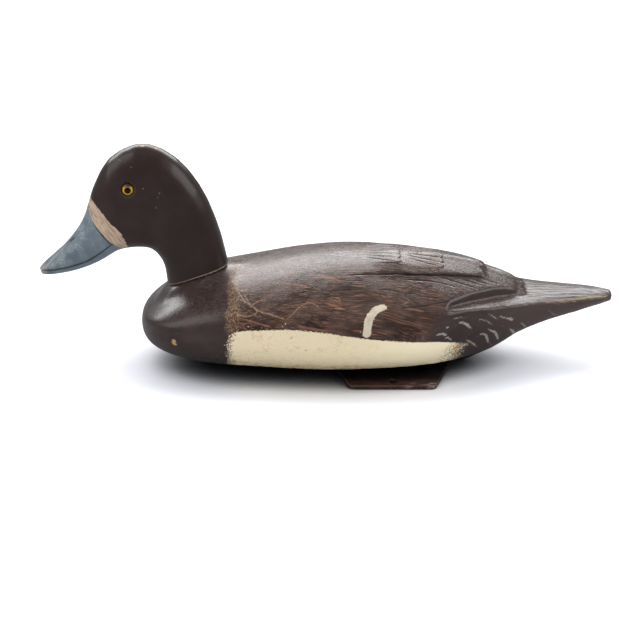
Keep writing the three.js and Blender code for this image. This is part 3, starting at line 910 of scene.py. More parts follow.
@dataclass(frozen=True)
class BodyPaint:
    """The painted feathers of the body, with the cream flank, the pale strokes and the wear."""

    breast: str = "2E2322"
    breast_light: str = "3A2D2B"
    feather_dark: str = "2B1E1A"
    feather_mid: str = "3F2D27"
    feather_light: str = "523A31"
    wisp: str = "694736"
    wisp_light: str = "835C48"
    ripple: str = "6B5A52"
    gap: str = "211715"
    rear_side: str = "483C38"
    back_sheen_streak: str = "5E524D"
    tail: str = "403836"
    tail_sheen_streak: str = "81766C"
    scribble: str = "94775A"
    scribble_ground: str = "4E382E"
    cream: str = "CFC1A0"
    cream_lit_rear: str = "E2D6B6"
    cream_stain: str = "AB9974"
    cream_drip: str = "A58C64"
    cream_low: str = "94794F"
    cream_crack: str = "7C6A4C"
    cream_dust: str = "857658"
    white: str = "BAB09B"
    white_worn: str = "8F877A"
    flank_white: str = "A09B90"
    wood: str = "B4834F"
    wood_grey: str = "8F7557"
    wear: str = "8C7657"
    speck: str = "B9B0A6"
    cut_shade: str = "120E0D"
    underside_shade: str = "2A2320"
    underside_shade_dark: str = "1C1715"
    combed_from_x: float = -61.0
    combed_to_x: float = 78.0
    tail_from_x: float = 112.0
    scribble_x: float = -59.4
    scribble_half_width: float = 4.2
    droop: float = 0.2
    dab_sizes: tuple[tuple[float, float, float, float], ...] = (
        (30.0, 6.5, 0.6, 0.0), (22.0, 4.0, 0.42, 3.7), (15.0, 1.7, 0.7, 7.1), (25.0, 3.0, 0.42, 11.3),
        (11.0, 1.0, 0.7, 15.7),
    )
    patch_front: tuple[float, float] = (-66.5, -56.0)
    patch_rear: tuple[float, float] = (90.0, 62.0)
    patch_lean: float = 0.35
    fleck: float = 0.5
    relief: float = 0.16

    def feathers(self, ground: Ground) -> tuple[Value, Value]:
        """The combed and dabbed feather painting of the back and sides.

        Args:
            ground: What the layers of paint share.

        Returns:
            The colour, and the fine combing for the relief.
        """
        sheet, place = ground.sheet, ground.place
        sway = sheet.noise(place, 36, detail=1.5).swing(9)
        fallen = sheet.vector(ground.x, ground.y + sway, ground.z + ground.x * self.droop + sway)
        combing = sheet.stretched(fallen, (17, 1.15, 1.15), detail=2)
        broad, dark, fine, long, thin = (
            sheet.group(ground.effects.dabs, Place=fallen, Length=length, Width=width, Density=density,
                        Shift=shift)
            for length, width, density, shift in self.dab_sizes
        )
        hair = combing.ease(0.44, 0.6)
        colour = sheet.coats(
            self.feather_dark,
            (ground.blotch.ease(0.35, 0.7), self.feather_mid),
            (broad["Mask"] * (0.35 + hair * 0.55), self.feather_light),
            (dark["Mask"] * (1 - hair * 0.7) * 0.65, self.gap),
            (long["Mask"] * hair * 0.5, self.wisp),
            (fine["Mask"] * hair * fine["Tone"].ease(0.0, 0.8) * 0.58, self.wisp),
            (thin["Mask"] * (0.2 + hair * 0.45) * thin["Tone"], self.wisp_light),
        )
        comb = sheet.node("ShaderNodeTexWave", wave_type="BANDS", bands_direction="DIAGONAL",
                          wave_profile="SIN")
        sheet.feed(comb.inputs["Vector"], place)
        for name, value in (("Scale", 0.33), ("Distortion", 11.0), ("Detail", 1.5), ("Detail Scale", 0.12)):
            comb.inputs[name].default_value = value
        patches = sheet.noise(place, 15, detail=2).ease(0.46, 0.58)
        ripple = Value(sheet, comb.outputs["Fac"]).ease(0.45, 0.85) * patches
        colour = sheet.mix(ripple * 0.3, colour, self.ripple)
        return colour, combing * 0.8 + ripple * 0.25

    def plumage(self, ground: Ground, topside: Value) -> tuple[Value, Value, Value]:
        """The brown paint of the whole body, with streaks of painted sheen on top of the back and the tail.

        Args:
            ground: What the layers of paint share.
            topside: Where the body faces up.

        Returns:
            The colour, the combing, and where the combed feathers lie.
        """
        sheet, x, blotch, bristle = ground.sheet, ground.x, ground.blotch, ground.bristle
        plain = sheet.mix(blotch.ease(0.35, 0.7), self.breast, self.breast_light)
        feathers, combing = self.feathers(ground)
        in_front = (x + blotch.swing(8)).ease(self.combed_from_x - 3, self.combed_from_x + 2)
        in_rear = (x - ground.z * 0.5 + blotch.swing(26)).ease(self.combed_to_x - 22, self.combed_to_x - 42)
        combed = in_front * sheet.math("MAXIMUM", in_rear, topside * 0.35)
        colour = sheet.mix(combed, plain, feathers)
        on_tail = x.ease(self.tail_from_x, self.tail_from_x + 10) * topside
        colour = sheet.coats(
            colour,
            (on_tail * 0.85, self.tail),
            ((1 - topside) * x.ease(95, 140) * 0.7, self.rear_side),
            # Painted sheen: pale streaks on the upward faces of the back and the tail.
            (topside * bristle.ease(0.42, 0.72) * 0.4, self.back_sheen_streak),
            (on_tail * bristle.ease(0.5, 0.75) * 0.5, self.tail_sheen_streak),
        )
        wisp = (sheet.stored("wisp") * (0.45 + combing * 0.9)).ease(0.3, 0.62)
        return sheet.mix(wisp * 0.5, colour, self.wisp_light), combing, combed

    def scribbles(self, ground: Ground, colour: Value) -> Value:
        """The band of thin tan scribbles behind the neck, and the loops that leave it.

        Args:
            ground: What the layers of paint share.
            colour: The paint below.

        Returns:
            The colour.
        """
        sheet, x, y, z, dust = ground.sheet, ground.x, ground.y, ground.z, ground.dust
        lines = ground.scribbled(sheet.vector(x * 1.5, y, z), 2.6, 0.05)
        crossed = ground.scribbled(sheet.vector(z, x * 1.5, y), 2.0, 0.045)
        wander = sheet.noise(ground.place, 9, detail=2).swing(7)
        off_band = sheet.math("ABSOLUTE", x - self.scribble_x + wander)
        band = off_band.ease(self.scribble_half_width + 1.2, self.scribble_half_width - 1.2) * z.ease(41, 44)
        loops = (sheet.stored("loops") + dust.swing(0.6)).ease(0.4, 0.62)
        drawn = sheet.math("MAXIMUM", sheet.math("MAXIMUM", lines, crossed) * band, loops)
        colour = sheet.mix(band * 0.25, colour, self.scribble_ground)
        colour = sheet.mix(drawn * dust.ease(0.34, 0.56) * 0.62, colour, self.scribble)
        return sheet.mix(loops * 0.2, colour, self.scribble)

    def patch(self, ground: Ground) -> Value:
        """Where the cream flank patch covers: a fuzzy top edge, and ends that fade into fine specks.

        Args:
            ground: What the layers of paint share.

        Returns:
            A mask.
        """
        sheet, place, x = ground.sheet, ground.place, ground.x
        edge = sheet.stored("patch")
        wander = sheet.noise(place, 7, detail=2).swing(5)
        leaning = x - ground.z * self.patch_lean
        front = (x + wander * 0.5 - edge.ease(6, 0) * 2).ease(*self.patch_front)
        rear = (leaning + wander * 1.3).ease(*self.patch_rear)
        cover = front * rear * (edge + wander * 0.08).ease(-0.8, 0.5)
        cells = sheet.cells(place, self.fleck)
        chance = sheet.node("ShaderNodeTexWhiteNoise", noise_dimensions="3D")
        sheet.tree.links.new(cells.outputs["Position"], chance.inputs["Vector"])
        grit = Value(sheet, chance.outputs["Value"]) * 0.86 + 0.07
        mask = (cover - grit).ease(-0.03, 0.03)
        far = edge.ease(-11, 2) * leaning.ease(98, 60) * x.ease(-78, -60)
        stray = ground.specks(far * 0.12, 1.7, 0.2)
        return sheet.math("MAXIMUM", mask * cover.ease(0.0, 0.03), stray)

    def cream_paint(self, ground: Ground) -> Value:
        """The stained and cracked cream of the flank patch, lightened towards the rear as painted light.

        Args:
            ground: What the layers of paint share.

        Returns:
            The colour.
        """
        sheet, place, x, dust = ground.sheet, ground.place, ground.x, ground.dust
        stain = sheet.noise(place, 10, detail=6, rough=0.7).ease(0.53, 0.76)
        drip = sheet.stretched(place, (2.4, 6, 7), detail=4).ease(0.56, 0.72)
        low = ground.z.ease(24, 12) * sheet.noise(place, 3.2, detail=4, rough=0.65).ease(0.46, 0.66)
        crackle = ground.scribbled(place, 6.5, 0.012)
        colour = sheet.coats(
            self.cream,
            (stain * 0.75, self.cream_stain),
            (drip * x.ease(-10, -45) * 0.3, self.cream_drip),
            (low * 0.75, self.cream_low),
            (crackle * ground.blotch.ease(0.4, 0.6) * 0.35, self.cream_crack),
            (dust.ease(0.63, 0.72) * 0.3, self.cream_dust),
        )
        # Painted light: the cream is lifted towards the rear, where the flank curves under into shade.
        return sheet.mix(x.ease(0, 75) * 0.75, colour, self.cream_lit_rear)

    def pale_strokes(self, ground: Ground, colour: Value) -> tuple[Value, Value]:
        """The short strokes on the rear flank and the thick white one on each wing.

        Args:
            ground: What the layers of paint share.
            colour: The paint below.

        Returns:
            The colour, and where the thick white paint lies.
        """
        sheet, place = ground.sheet, ground.place
        dry = sheet.stretched(place, (1.6, 0.7, 0.9), detail=3)
        stroke = sheet.stored("stroke")
        dabbed = (stroke + dry.swing(1.6)).ease(0.28, 0.6) * stroke.ease(0.05, 0.6)
        colour = sheet.mix(dabbed * 0.62, colour, self.flank_white)
        wing = ground.ragged("wing", 2.6, 1.6, 0.22)
        worn = sheet.noise(place, 4, detail=4).ease(0.5, 0.72)
        return sheet.mix(wing, colour, sheet.mix(worn * 0.5, self.white, self.white_worn)), wing

    def wear_of(self, ground: Ground, colour: Value) -> tuple[Value, Value]:
        """Chips down to the wood, the worn edges of the tail and stray specks.

        Args:
            ground: What the layers of paint share.
            colour: The paint below.

        Returns:
            The colour, and where the wood is bare.
        """
        sheet, place = ground.sheet, ground.place
        chipped = sheet.noise(place, 1.6, detail=4, rough=0.7).swing(0.9)
        bare = (sheet.stored("bare") + chipped).ease(0.45, 0.62)
        colour = sheet.mix(bare * 0.9, colour, sheet.mix(ground.bristle, self.wood, self.wood_grey))
        rubbed = sheet.stretched(place, (9, 1.3, 1.3), detail=4).swing(1.5)
        worn = (sheet.stored("wear") + rubbed).ease(0.42, 0.8)
        colour = sheet.mix(worn * 0.6, colour, self.wear)
        specks = ground.specks(0.035, 3.6, 0.1)
        return sheet.mix(specks * sheet.stored("upper") * 0.8, colour, self.speck), bare

    def make(self, effects: Effects) -> bpy.types.Material:
        """Builds the material.

        Args:
            effects: The shared effects.

        Returns:
            The material.
        """
        material, sheet, shader = principled("body_paint")
        ground = ground_for(sheet, effects)
        x, blotch, bristle, dust = ground.x, ground.blotch, ground.bristle, ground.dust
        topside = sheet.stored("topside")
        colour, combing, combed = self.plumage(ground, topside)
        colour = self.scribbles(ground, colour)
        cream = self.patch(ground)
        colour = sheet.mix(cream, colour, self.cream_paint(ground))
        colour, wing = self.pale_strokes(ground, colour)
        colour, bare = self.wear_of(ground, colour)

        # The underside below the chine is painted dark as shade, with a ragged edge along the flank.
        along_flank = 0.9 + x.ease(-62, -40) * x.ease(30, 0) * 0.9
        ragged = (sheet.noise(ground.place, 2.6, detail=5, rough=0.7) - 0.5) * along_flank
        under = (sheet.stored("under") + ragged).ease(0.44, 0.58)
        colour = sheet.mix(under, colour, sheet.mix(blotch, self.underside_shade, self.underside_shade_dark))
        # Painted shade darkens the knife lines, the steps, the tail grooves and the nicks.
        cut = sheet.stored("cut")
        sheet.feed(shader.inputs["Base Color"], sheet.mix(cut, colour, self.cut_shade))

        gloss = 0.33 + blotch.swing(0.18) + dust.swing(0.2) + cream * 0.2 + bare * 0.3 + under * 0.3
        streaked = topside * x.ease(-66, -52)
        streaks = bristle.swing(0.3) * streaked + combing.swing(0.3) * combed
        streaks = streaks - topside * (0.04 + x.ease(30, 60) * 0.07)
        sheet.feed(shader.inputs["Roughness"], gloss + streaks + cut * 0.4)
        shader.inputs["Specular IOR Level"].default_value = 0.26
        shader.inputs["Coat Roughness"].default_value = 0.2
        sheet.feed(shader.inputs["Coat Weight"], (1 - cut) * (1 - bare) * (1 - under) * (1 - cream) * 0.2)
        brushwork = bristle * (0.4 + streaked * 0.9) + combing * combed * 0.8 + dust * 0.3
        set_relief(sheet, shader, brushwork + wing * 0.8 + cream * 0.4 - bare * 0.6, self.relief)
        return material


@dataclass(frozen=True)
class HeadPaint:
    """The dark brown head, the beige blaze and the blue-grey bill."""

    brown: str = "291E1C"
    brown_light: str = "342725"
    scratched: str = "8A7468"
    speck: str = "A39688"
    blaze: str = "A8947F"
    blaze_streak: str = "745F4F"
    blaze_hair: str = "5F4B3E"
    bill: str = "5C676F"
    bill_dark: str = "424C54"
    bill_haze_and_highlight: str = "A0A8AC"
    tip_worn: str = "B5A797"
    tip_dark: str = "2A2726"
    socket_rim: str = "7B7678"
    socket_dark: str = "12100A"
    seat_line: str = "A08C7A"
    wood: str = "A27C52"
    wood_pale: str = "C4AA80"
    cut_shade: str = "181413"
    eye: Point = (-127.2, 124.0)
    socket: tuple[float, float] = (5.9, 4.4)
    socket_edge: tuple[float, float] = (4.8, 4.1)
    relief: float = 0.12

    def blaze_paint(self, ground: Ground) -> tuple[Value, Value]:
        """The streaky blaze: its colour, and the streaks for the relief.

        Args:
            ground: What the layers of paint share.

        Returns:
            The colour and the streaks.
        """
        sheet, x, y, z = ground.sheet, ground.x, ground.y, ground.z
        across = x * 0.8 + z * 0.6
        along = x * 0.6 - z * 0.8
        streak = sheet.noise(sheet.vector(across * 1.15, y * 0.25, along * 0.11), 1.0, detail=3)
        hair = sheet.noise(sheet.vector(across * 2.6, y * 0.4, along * 0.2), 1.0, detail=2)
        colour = sheet.mix(streak.ease(0.42, 0.66) * 0.7, self.blaze, self.blaze_streak)
        return sheet.mix(hair.ease(0.56, 0.68) * 0.6, colour, self.blaze_hair), streak

    def bill_paint(self, ground: Ground) -> Value:
        """The bill, faintly hazy, with a painted highlight flecked along its upper side, and dark and worn at
        the tip.

        Args:
            ground: What the layers of paint share.

        Returns:
            The colour.
        """
        sheet, place, z = ground.sheet, ground.place, ground.z
        forward = ground.x * -1
        colour = sheet.mix(ground.blotch.ease(0.3, 0.75) * 0.6, self.bill, self.bill_dark)
        haze = sheet.stretched(place, (6, 9, 5), detail=3).ease(0.4, 0.66)
        upper = (z + ground.x * -0.9).ease(218, 230)
        fleck = sheet.noise(place, 0.9, detail=3, rough=0.7).ease(0.45, 0.65)
        # A painted highlight, flecked along the bill's upper side, over a faint haze.
        colour = sheet.mix(haze * 0.08 + upper * fleck * haze * 0.6, colour, self.bill_haze_and_highlight)
        tip = (forward + sheet.noise(place, 2.4, detail=3).swing(7)).ease(181.5, 186.5) * z.ease(69.5, 66.5)
        colour = sheet.mix(forward.ease(172, 186) * 0.55, colour, self.bill_dark)
        colour = sheet.mix(tip * 0.3, colour, self.tip_worn)
        return sheet.mix(forward.ease(187.6, 188.6) * 0.7, colour, self.tip_dark)

    def socket_paint(self, ground: Ground, colour: Value) -> Value:
        """The thin dark ring round each eye.

        Args:
            ground: What the layers of paint share.
            colour: The paint below.

        Returns:
            The colour.
        """
        sheet = ground.sheet
        off_x, off_z = ground.x - self.eye[0], ground.z - self.eye[1]
        across = sheet.math("SQRT", off_x * off_x + off_z * off_z)
        rim = across.ease(*self.socket) * across.ease(2.0, 4.0)
        edge = across.ease(*self.socket_edge) * across.ease(2.0, 3.4)
        return sheet.coats(colour, (rim * 0.12, self.socket_rim), (edge * 0.45, self.socket_dark))

    def make(self, effects: Effects) -> bpy.types.Material:
        """Builds the material.

        Args:
            effects: The shared effects.

        Returns:
            The material.
        """
        material, sheet, shader = principled("head_paint")
        ground = ground_for(sheet, effects)
        place, blotch, dust = ground.place, ground.blotch, ground.dust
        colour = sheet.mix(blotch.ease(0.35, 0.72) * 0.7, self.brown, self.brown_light)
        scratch = (sheet.stored("scratch") + dust.swing(0.8)).ease(0.4, 0.7)
        colour = sheet.mix(scratch * 0.6, colour, self.scratched)
        specks = ground.specks(0.03, 4.0, 0.08)
        colour = sheet.mix(specks * 0.6, colour, self.speck)

        on_blaze = ground.ragged("blaze", 2.4, 2.4, 0.2)
        on_bill = ground.ragged("bill", 0.9, 2.6, 0.2)
        blaze_colour, streak = self.blaze_paint(ground)
        colour = sheet.mix(on_bill, colour, self.bill_paint(ground))
        colour = sheet.mix(on_blaze, colour, blaze_colour)
        colour = self.socket_paint(ground, colour)

        seat_line = (sheet.stored("seat") + dust.swing(0.6)).ease(1.4, 0.8)
        colour = sheet.mix(seat_line * (0.5 + ground.x.ease(-100, -68) * 0.4), colour, self.seat_line)
        chipped = sheet.noise(place, 1.4, detail=4, rough=0.7).swing(0.9)
        bare = (sheet.stored("bare") + chipped).ease(0.4, 0.6)
        colour = sheet.mix(bare, colour, sheet.mix(dust, self.wood, self.wood_pale))
        # Painted shade darkens the mouth line, the nostril slot and the seam of the bill.
        cut = sheet.stored("cut")
        sheet.feed(shader.inputs["Base Color"], sheet.mix(cut * 0.9, colour, self.cut_shade))

        gloss = 0.31 + blotch.swing(0.14) + dust.swing(0.1) + on_bill * 0.02 + on_blaze * 0.25 + bare * 0.3
        sheet.feed(shader.inputs["Roughness"], gloss + cut * 0.4)
        shader.inputs["Specular IOR Level"].default_value = 0.24
        shader.inputs["Coat Roughness"].default_value = 0.22
        coat = (1 - cut) * (1 - bare) * (1 - on_blaze) * (0.12 + on_bill * 0.1)
        sheet.feed(shader.inputs["Coat Weight"], coat)
        brushwork = ground.bristle * 0.3 + dust * 0.15 + on_blaze * (0.5 + streak * 0.8)
        set_relief(sheet, shader, brushwork - bare * 0.7, self.relief)
        return material


@dataclass(frozen=True)
class EyeGlass:
    """A glass eye: black pupil, yellow iris with a darker rim and a shaded top, under a clear gloss."""

    iris: str = "B08519"
    iris_fibre: str = "A87A12"
    iris_edge: str = "5E3F0C"
    lid_shade: str = "1A1408"
    pupil: str = "050505"
    pupil_radius: float = 2.15
    iris_radius: float = 3.75

    def make(self, middle: Point) -> bpy.types.Material:
        """Builds the material for an eye whose middle is at x, z, in millimetres.

        Args:
            middle: The x and z of the eye's middle.

        Returns:
            The material.
        """
        material, sheet, shader = principled("eye_glass")
        x, _, z = sheet.parts(sheet.place())
        off_x, off_z = x - middle[0], z - middle[1]
        across = sheet.math("SQRT", off_x * off_x + off_z * off_z)
        around = sheet.math("ARCTAN2", off_z, off_x) * 5
        fibre = sheet.noise(sheet.vector(around, across * 0.35, 0.0), 1.0, detail=3)
        rim = (across + fibre.swing(0.5)).ease(self.iris_radius - 1.1, self.iris_radius)
        colour = sheet.coats(
            self.iris,
            (fibre.ease(0.4, 0.75) * 0.45, self.iris_fibre),
            (rim, self.iris_edge),
            (off_z.ease(1.4, 2.9) * 0.85, self.lid_shade),
            (across.ease(self.pupil_radius + 0.12, self.pupil_radius - 0.12), self.pupil),
        )
        sheet.feed(shader.inputs["Base Color"], colour)
        sheet.feed(shader.inputs["Roughness"], 0.2 + fibre * 0.05)
        shader.inputs["Specular IOR Level"].default_value = 0.15
        shader.inputs["Coat Weight"].default_value = 0.55
        shader.inputs["Coat Roughness"].default_value = 0.02
        return material


@dataclass(frozen=True)
class KeelRust:
    """Iron that has rusted brown and worn pale along its free edge."""

    dark: str = "2E2423"
    brown: str = "46302A"
    orange: str = "68402F"
    edge: str = "6E5248"
    worn: str = "A89A92"
    shaded: str = "151112"
    relief: float = 0.3

    def make(self) -> bpy.types.Material:
        """Builds the material.

        Returns:
            The material.
        """
        material, sheet, shader = principled("keel_rust")
        place = sheet.place()
        x, y, _ = sheet.parts(place)
        cloud = sheet.noise(place, 14, detail=5, rough=0.6, warp=0.5)
        grain = sheet.noise(place, 1.3, detail=4, rough=0.7)
        outward = y.ease(-38, -50)
        colour = sheet.mix((cloud * 0.7 + grain * 0.4).ease(0.42, 0.68), self.dark, self.brown)
        colour = sheet.mix(grain.ease(0.52, 0.72) * (0.25 + outward * 0.5), colour, self.orange)
        edge = (sheet.stored("edge") + grain.swing(0.8)).ease(0.45, 0.8)
        colour = sheet.mix(edge * 0.5, colour, self.edge)
        streak = sheet.stretched(place, (9, 1.6, 1.6), detail=3).ease(0.5, 0.66)
        colour = sheet.mix(streak * x.ease(44, 60) * y.ease(-47, -53) * 0.6, colour, self.worn)
        colour = sheet.mix(y.ease(-53, -42) * 0.8, colour, self.shaded)
        sheet.feed(shader.inputs["Base Color"], colour)
        sheet.feed(shader.inputs["Roughness"], 0.62 + grain.swing(0.4))
        shader.inputs["Specular IOR Level"].default_value = 0.3
        sheet.feed(shader.inputs["Metallic"], (0.5 - cloud * 0.5) * 0.6)
        set_relief(sheet, shader, grain * 0.7 + cloud * 0.6, self.relief)
        return material


# Pieces


@dataclass
class CarvedBody:
    """The body: carved feathers on the back, and painted feathers, flank patch and brush strokes."""

    sanding: Sanding = Sanding(1.32, 24.0, 0.8, 46, 0.12, (1.0, 6.0))
    smooth_front_x: float = -52.0
    smooth_front_z: float = 24.0
    line_width: float = 0.75
    line_depth: float = 0.45
    panel_depth: float = 0.7
    foot_depth: float = 0.3
    band_from_y: float = 20.5
    band_slope: float = 0.11
    ridge_rise: float = 0.45
    ridge_half_width: float = 6.0
    feather_rows: tuple[float, ...] = (49.0, 77.0)
    feather_half_widths: tuple[float, ...] = (19.5, 19.0)
    feather_count: int = 6
    feather_lobe: float = 1.9
    feather_rise: float = 0.5
    feather_ramp: float = 20.0
    grooves: int = 9
    panel_edge: Path = (
        (14, 35), (26, 33.9), (40, 32.9), (54, 31), (68, 28.2), (80, 25.4), (94, 20.8), (104, 16.5),
    )
    wing_lines: tuple[Path, ...] = (
        ((50.1, 35.6), (67.6, 33.7), (84.4, 35.4)),
        ((74.4, 28.2), (87.3, 29.8), (99, 30.7)),
        ((85.6, 24.4), (101.3, 25.6)),
        ((92.3, 21.7), (106.8, 22.1)),
        ((101.8, 17.7), (113.7, 17.3)),
        ((34.9, 48.5), (42, 47.4), (50.3, 48.9)),
        ((59.9, 49.2), (68.9, 49.5), (77.9, 51)),
        ((50, 60.1), (63.5, 56.5), (77.9, 51.7)),
    )
    wing_foot: Path = ((91, 48.2), (107, 31), (125.2, 15.8))
    tail_wear: Path = ((146, 21.5, 48.4), (162, 17.2, 48.3), (187, 7.5, 48))
    patch_top: Path = (
        (-70, 36), (-62, 40.5), (-57, 42.8), (-42.5, 44.6), (-24, 46.1), (-1, 45.1), (28, 41.1), (49, 38.3),
        (67, 35.2), (82, 31), (100, 24),
    )
    wing_stroke: Path = (
        (26.2, -74.2, 45), (27, -71.5, 50.2), (29, -67.2, 54.8), (32.4, -63.4, 57.5), (36.4, -61.8, 58.4),
    )

    # Short pale strokes on the rear flank: x and z of the start, middle and end, then width and strength
    flank_strokes: tuple[tuple[Path, float, float], ...] = (
        (((71, 40.2), (74.5, 40.4), (78.2, 37.6)), 1.9, 1.0),
        (((76.2, 36.4), (78.6, 36), (81, 33.6)), 1.7, 0.95),
        (((77.2, 44.2), (78.7, 44.5)), 1.6, 1.0),
        (((79.6, 44.6), (83, 44.4), (87.6, 42)), 0.8, 0.5),
        (((75.7, 42.2), (78, 42.6), (80.7, 41.3)), 0.9, 0.55),
        (((81.2, 49.2), (84, 49.8), (90.8, 48.1)), 1.8, 0.5),
        (((85.2, 46), (89.6, 44.3), (94.5, 38.5)), 2.3, 0.85),
        (((84.1, 38), (86.2, 36.2), (88.2, 33.3)), 0.8, 0.5),
        (((86.7, 28.3), (89.1, 27.2), (91.1, 24.2)), 1.3, 0.6),
        (((90.9, 30.8), (94.9, 26.8), (98.8, 21.3)), 1.7, 0.95),
        (((95.3, 31.5), (98.7, 31), (102.5, 25.2)), 0.8, 0.5),
        (((99.9, 33.1), (104.2, 30.7), (106.6, 22.6)), 2.1, 1.0),
        (((107.2, 22.8), (109.4, 18.6)), 1.2, 0.7),
        (((97.3, 45.4), (103.8, 42.6), (109.5, 37.4)), 1.9, 0.6),
        (((105.9, 35.1), (111, 30.3), (113.9, 21.6)), 2.1, 1.0),
        (((105.3, 47.2), (109.2, 44.1), (111.7, 41.2)), 1.2, 0.75),
        (((111.4, 40.9), (114.3, 36.8), (116.7, 33.1)), 0.7, 0.5),
        (((111.9, 43.8), (116.8, 41.6), (122.8, 37.6)), 2.0, 0.7),
        (((119, 41), (122.6, 38.2)), 2.6, 0.95),
        (((121, 30.9), (124.1, 25.4), (122.6, 20)), 2.4, 0.95),
        (((127.5, 35.3), (130.2, 32.1), (132.2, 27.4)), 1.7, 0.75),
        (((132.9, 35.8), (134.4, 31.8)), 0.8, 0.5),
        (((135.9, 40.6), (138.4, 39.3), (141, 36.9)), 0.8, 0.5),
        (((145.8, 43.3), (149.3, 38.8), (152.7, 36.2)), 1.3, 0.75),
        (((143.8, 36.4), (147.3, 35.4)), 0.8, 0.5),
        (((151.6, 46.2), (152.5, 46.1)), 1.3, 0.9),
    )

    # Looping scribbles behind the neck, and reddish wisps on the side, as points on the left
    loops: tuple[Path, ...] = (
        ((-58.5, -33.4, 61.5), (-54.1, -37.3, 61.3), (-49.8, -36.1, 62.5)),
        ((-55.8, -39.3, 60.5), (-53.1, -45.5, 58.9), (-49.4, -51.4, 57.2), (-47.4, -53.4, 56.5)),
        ((-52.6, -40.7, 60.6), (-49.5, -49.5, 58), (-47.4, -53.4, 56.5)),
        ((-54.6, -46.2, 58.4), (-47.2, -53.5, 56.5), (-39.3, -60.6, 53.7)),
        ((-57.2, -56.6, 53), (-52.8, -59.4, 51.8), (-47.1, -60.1, 52.4), (-43.7, -58.4, 54.4),
         (-47.2, -53.1, 56.7)),
        ((-36.6, -60.5, 54.4), (-30.8, -64.2, 52.9), (-25.1, -66.1, 52.2), (-20.8, -63.9, 54.9),
         (-16.6, -60.2, 58.2), (-10.3, -57.9, 60.3), (-4.8, -60.8, 59.1)),
        ((-47.4, -53.4, 56.5), (-42.8, -50.4, 58.9), (-38.2, -50.3, 59.8)),
        ((4, -55.1, 63.2), (8.2, -56.4, 62.7), (9.6, -58.8, 61.3)),
        ((3.9, -63, 58.4), (12.4, -64, 58)),
    )
    wisps: tuple[Path, ...] = (
        ((-59.1, -16.6, 64.2), (-48.1, -18.8, 66), (-43, -22.3, 66.5)),
        ((-10.3, -35.7, 69.1), (-3.2, -35.6, 69.8), (4.7, -37.9, 69.9), (10.4, -42.9, 68.6)),
        ((-35.5, -35.5, 65.3), (-28.2, -37.1, 66.2), (-15.3, -42.4, 66.5), (-8.1, -46.3, 66)),
        ((-34.9, -34.1, 65.7), (-26.7, -38.4, 66.1)),
        ((-14.9, -42.9, 66.4), (-9, -45.6, 66.1)),
        ((-12.6, -31.6, 69.9), (1.5, -35, 70.4), (10.8, -41.5, 69.1)),
        ((2, -56.2, 62.4), (9, -58.6, 61.5)),
        ((-45.6, -56.6, 55.2), (-34.5, -62.3, 53.5), (-26.3, -65.7, 52.3)),
        ((-55.4, -60.1, 50.9), (-45.5, -64, 49.3), (-33.2, -68.5, 46.9)),
        ((-19.4, -69.1, 49.9), (-12.4, -71.1, 48.1), (2.5, -73.3, 46.5)),
        ((-0.3, -59.2, 60.5), (12.4, -64.1, 57.9)),
        ((-56.1, -36.6, 61.2), (-46.6, -38.9, 62.3)),
        ((16, -45.2, 67.9), (25.4, -46.2, 67.3)),
        ((35.1, -52.7, 63.7), (38.6, -54.1, 62.8)),
        ((58.8, -40.5, 65.6), (62.4, -40.7, 64.9)),
        ((65.9, -41.4, 64.1), (69.9, -42.4, 62.8), (73.4, -44.5, 61.3)),
        ((49, -58.2, 59.2), (53.7, -54.6, 60.5)),
        ((50, -60.8, 57.3), (58.2, -60, 56.1), (64.6, -60.5, 54.2)),
    )
    right_shift: tuple[float, float] = (3.0, 1.5)
    chips: tuple[tuple[Point, float], ...] = (
        ((-58.6, -49.4, 15.9), 1.6), ((85.6, -46.4, 25.9), 2.4), ((84.3, -41.6, 20), 1.9),
        ((-97.7, -50.6, 29.6), 2.0), ((-97.6, -51.8, 32), 1.5), ((105.7, -13.6, 62.5), 0.9),
        ((30, 48, 12), 1.8), ((-40, 52, 15), 1.5),
    )
    chine: Path = (
        (-122, 19), (-100, 13), (-58, 11.6), (0, 10), (60, 12.4), (96, 13.2), (112, 16), (126, 23.8),
        (190, 43),
    )
    nicks: tuple[Path, ...] = (
        ((-34, -49.6, 13.6), (-27.9, -51.2, 14.3)),
        ((-21.4, -53, 14.9), (-15, -54, 15), (-10.2, -54.5, 15.3)),
        ((-12.4, -70.7, 32.6), (-12, -70.7, 32.5)),
        ((-22.4, -72.1, 41.4), (-21.8, -72, 41.3)),
    )

    def build(self) -> bpy.types.Object:
        """Makes the whole piece and returns it.

        Returns:
            The piece.
        """
        piece = self.sanding.copy_of_node("body", "carved_body", self.keeps_crease)
        refine(piece, self.wanted_width, 2)
        self.carve(piece)
        self.paint(piece)
        LOG.info("carved body: %d triangles", triangles_in(piece))
        return piece

    def keeps_crease(self, place: Vector) -> bool:
        """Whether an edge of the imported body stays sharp, which none of those on the breast does."""
        return place.x > self.smooth_front_x or place.z < self.smooth_front_z

    def row_edge(self, row: int, across: np.ndarray) -> np.ndarray:
        """Where a row of back feathers ends.

        Args:
            row: The row's number.
            across: Distances across the back from the middle.

        Returns:
            The x of the scalloped edge at each distance.
        """
        half = self.feather_half_widths[row]
        wave = np.sqrt(np.abs(np.sin(math.pi * self.feather_count * (across / half + 1) / 2)))
        return self.feather_rows[row] - self.feather_lobe * (1 - wave)

    def feather_lines(self) -> list[Stroke]:
        """The knife lines between the feathers of the back, in x and distance from the middle.

        Returns:
            The lines.
        """
        lines = []
        for row_x, half in zip(self.feather_rows, self.feather_half_widths):
            for i in range(self.feather_count // 2 + 1):
                y = 2 * half * i / self.feather_count
                path = ((row_x - 23, y * 0.6), (row_x - 10, y * 0.84), (row_x - 1.5, y))
                lines.append(Stroke(path, self.line_width, 0.7, 0.8))
        return lines

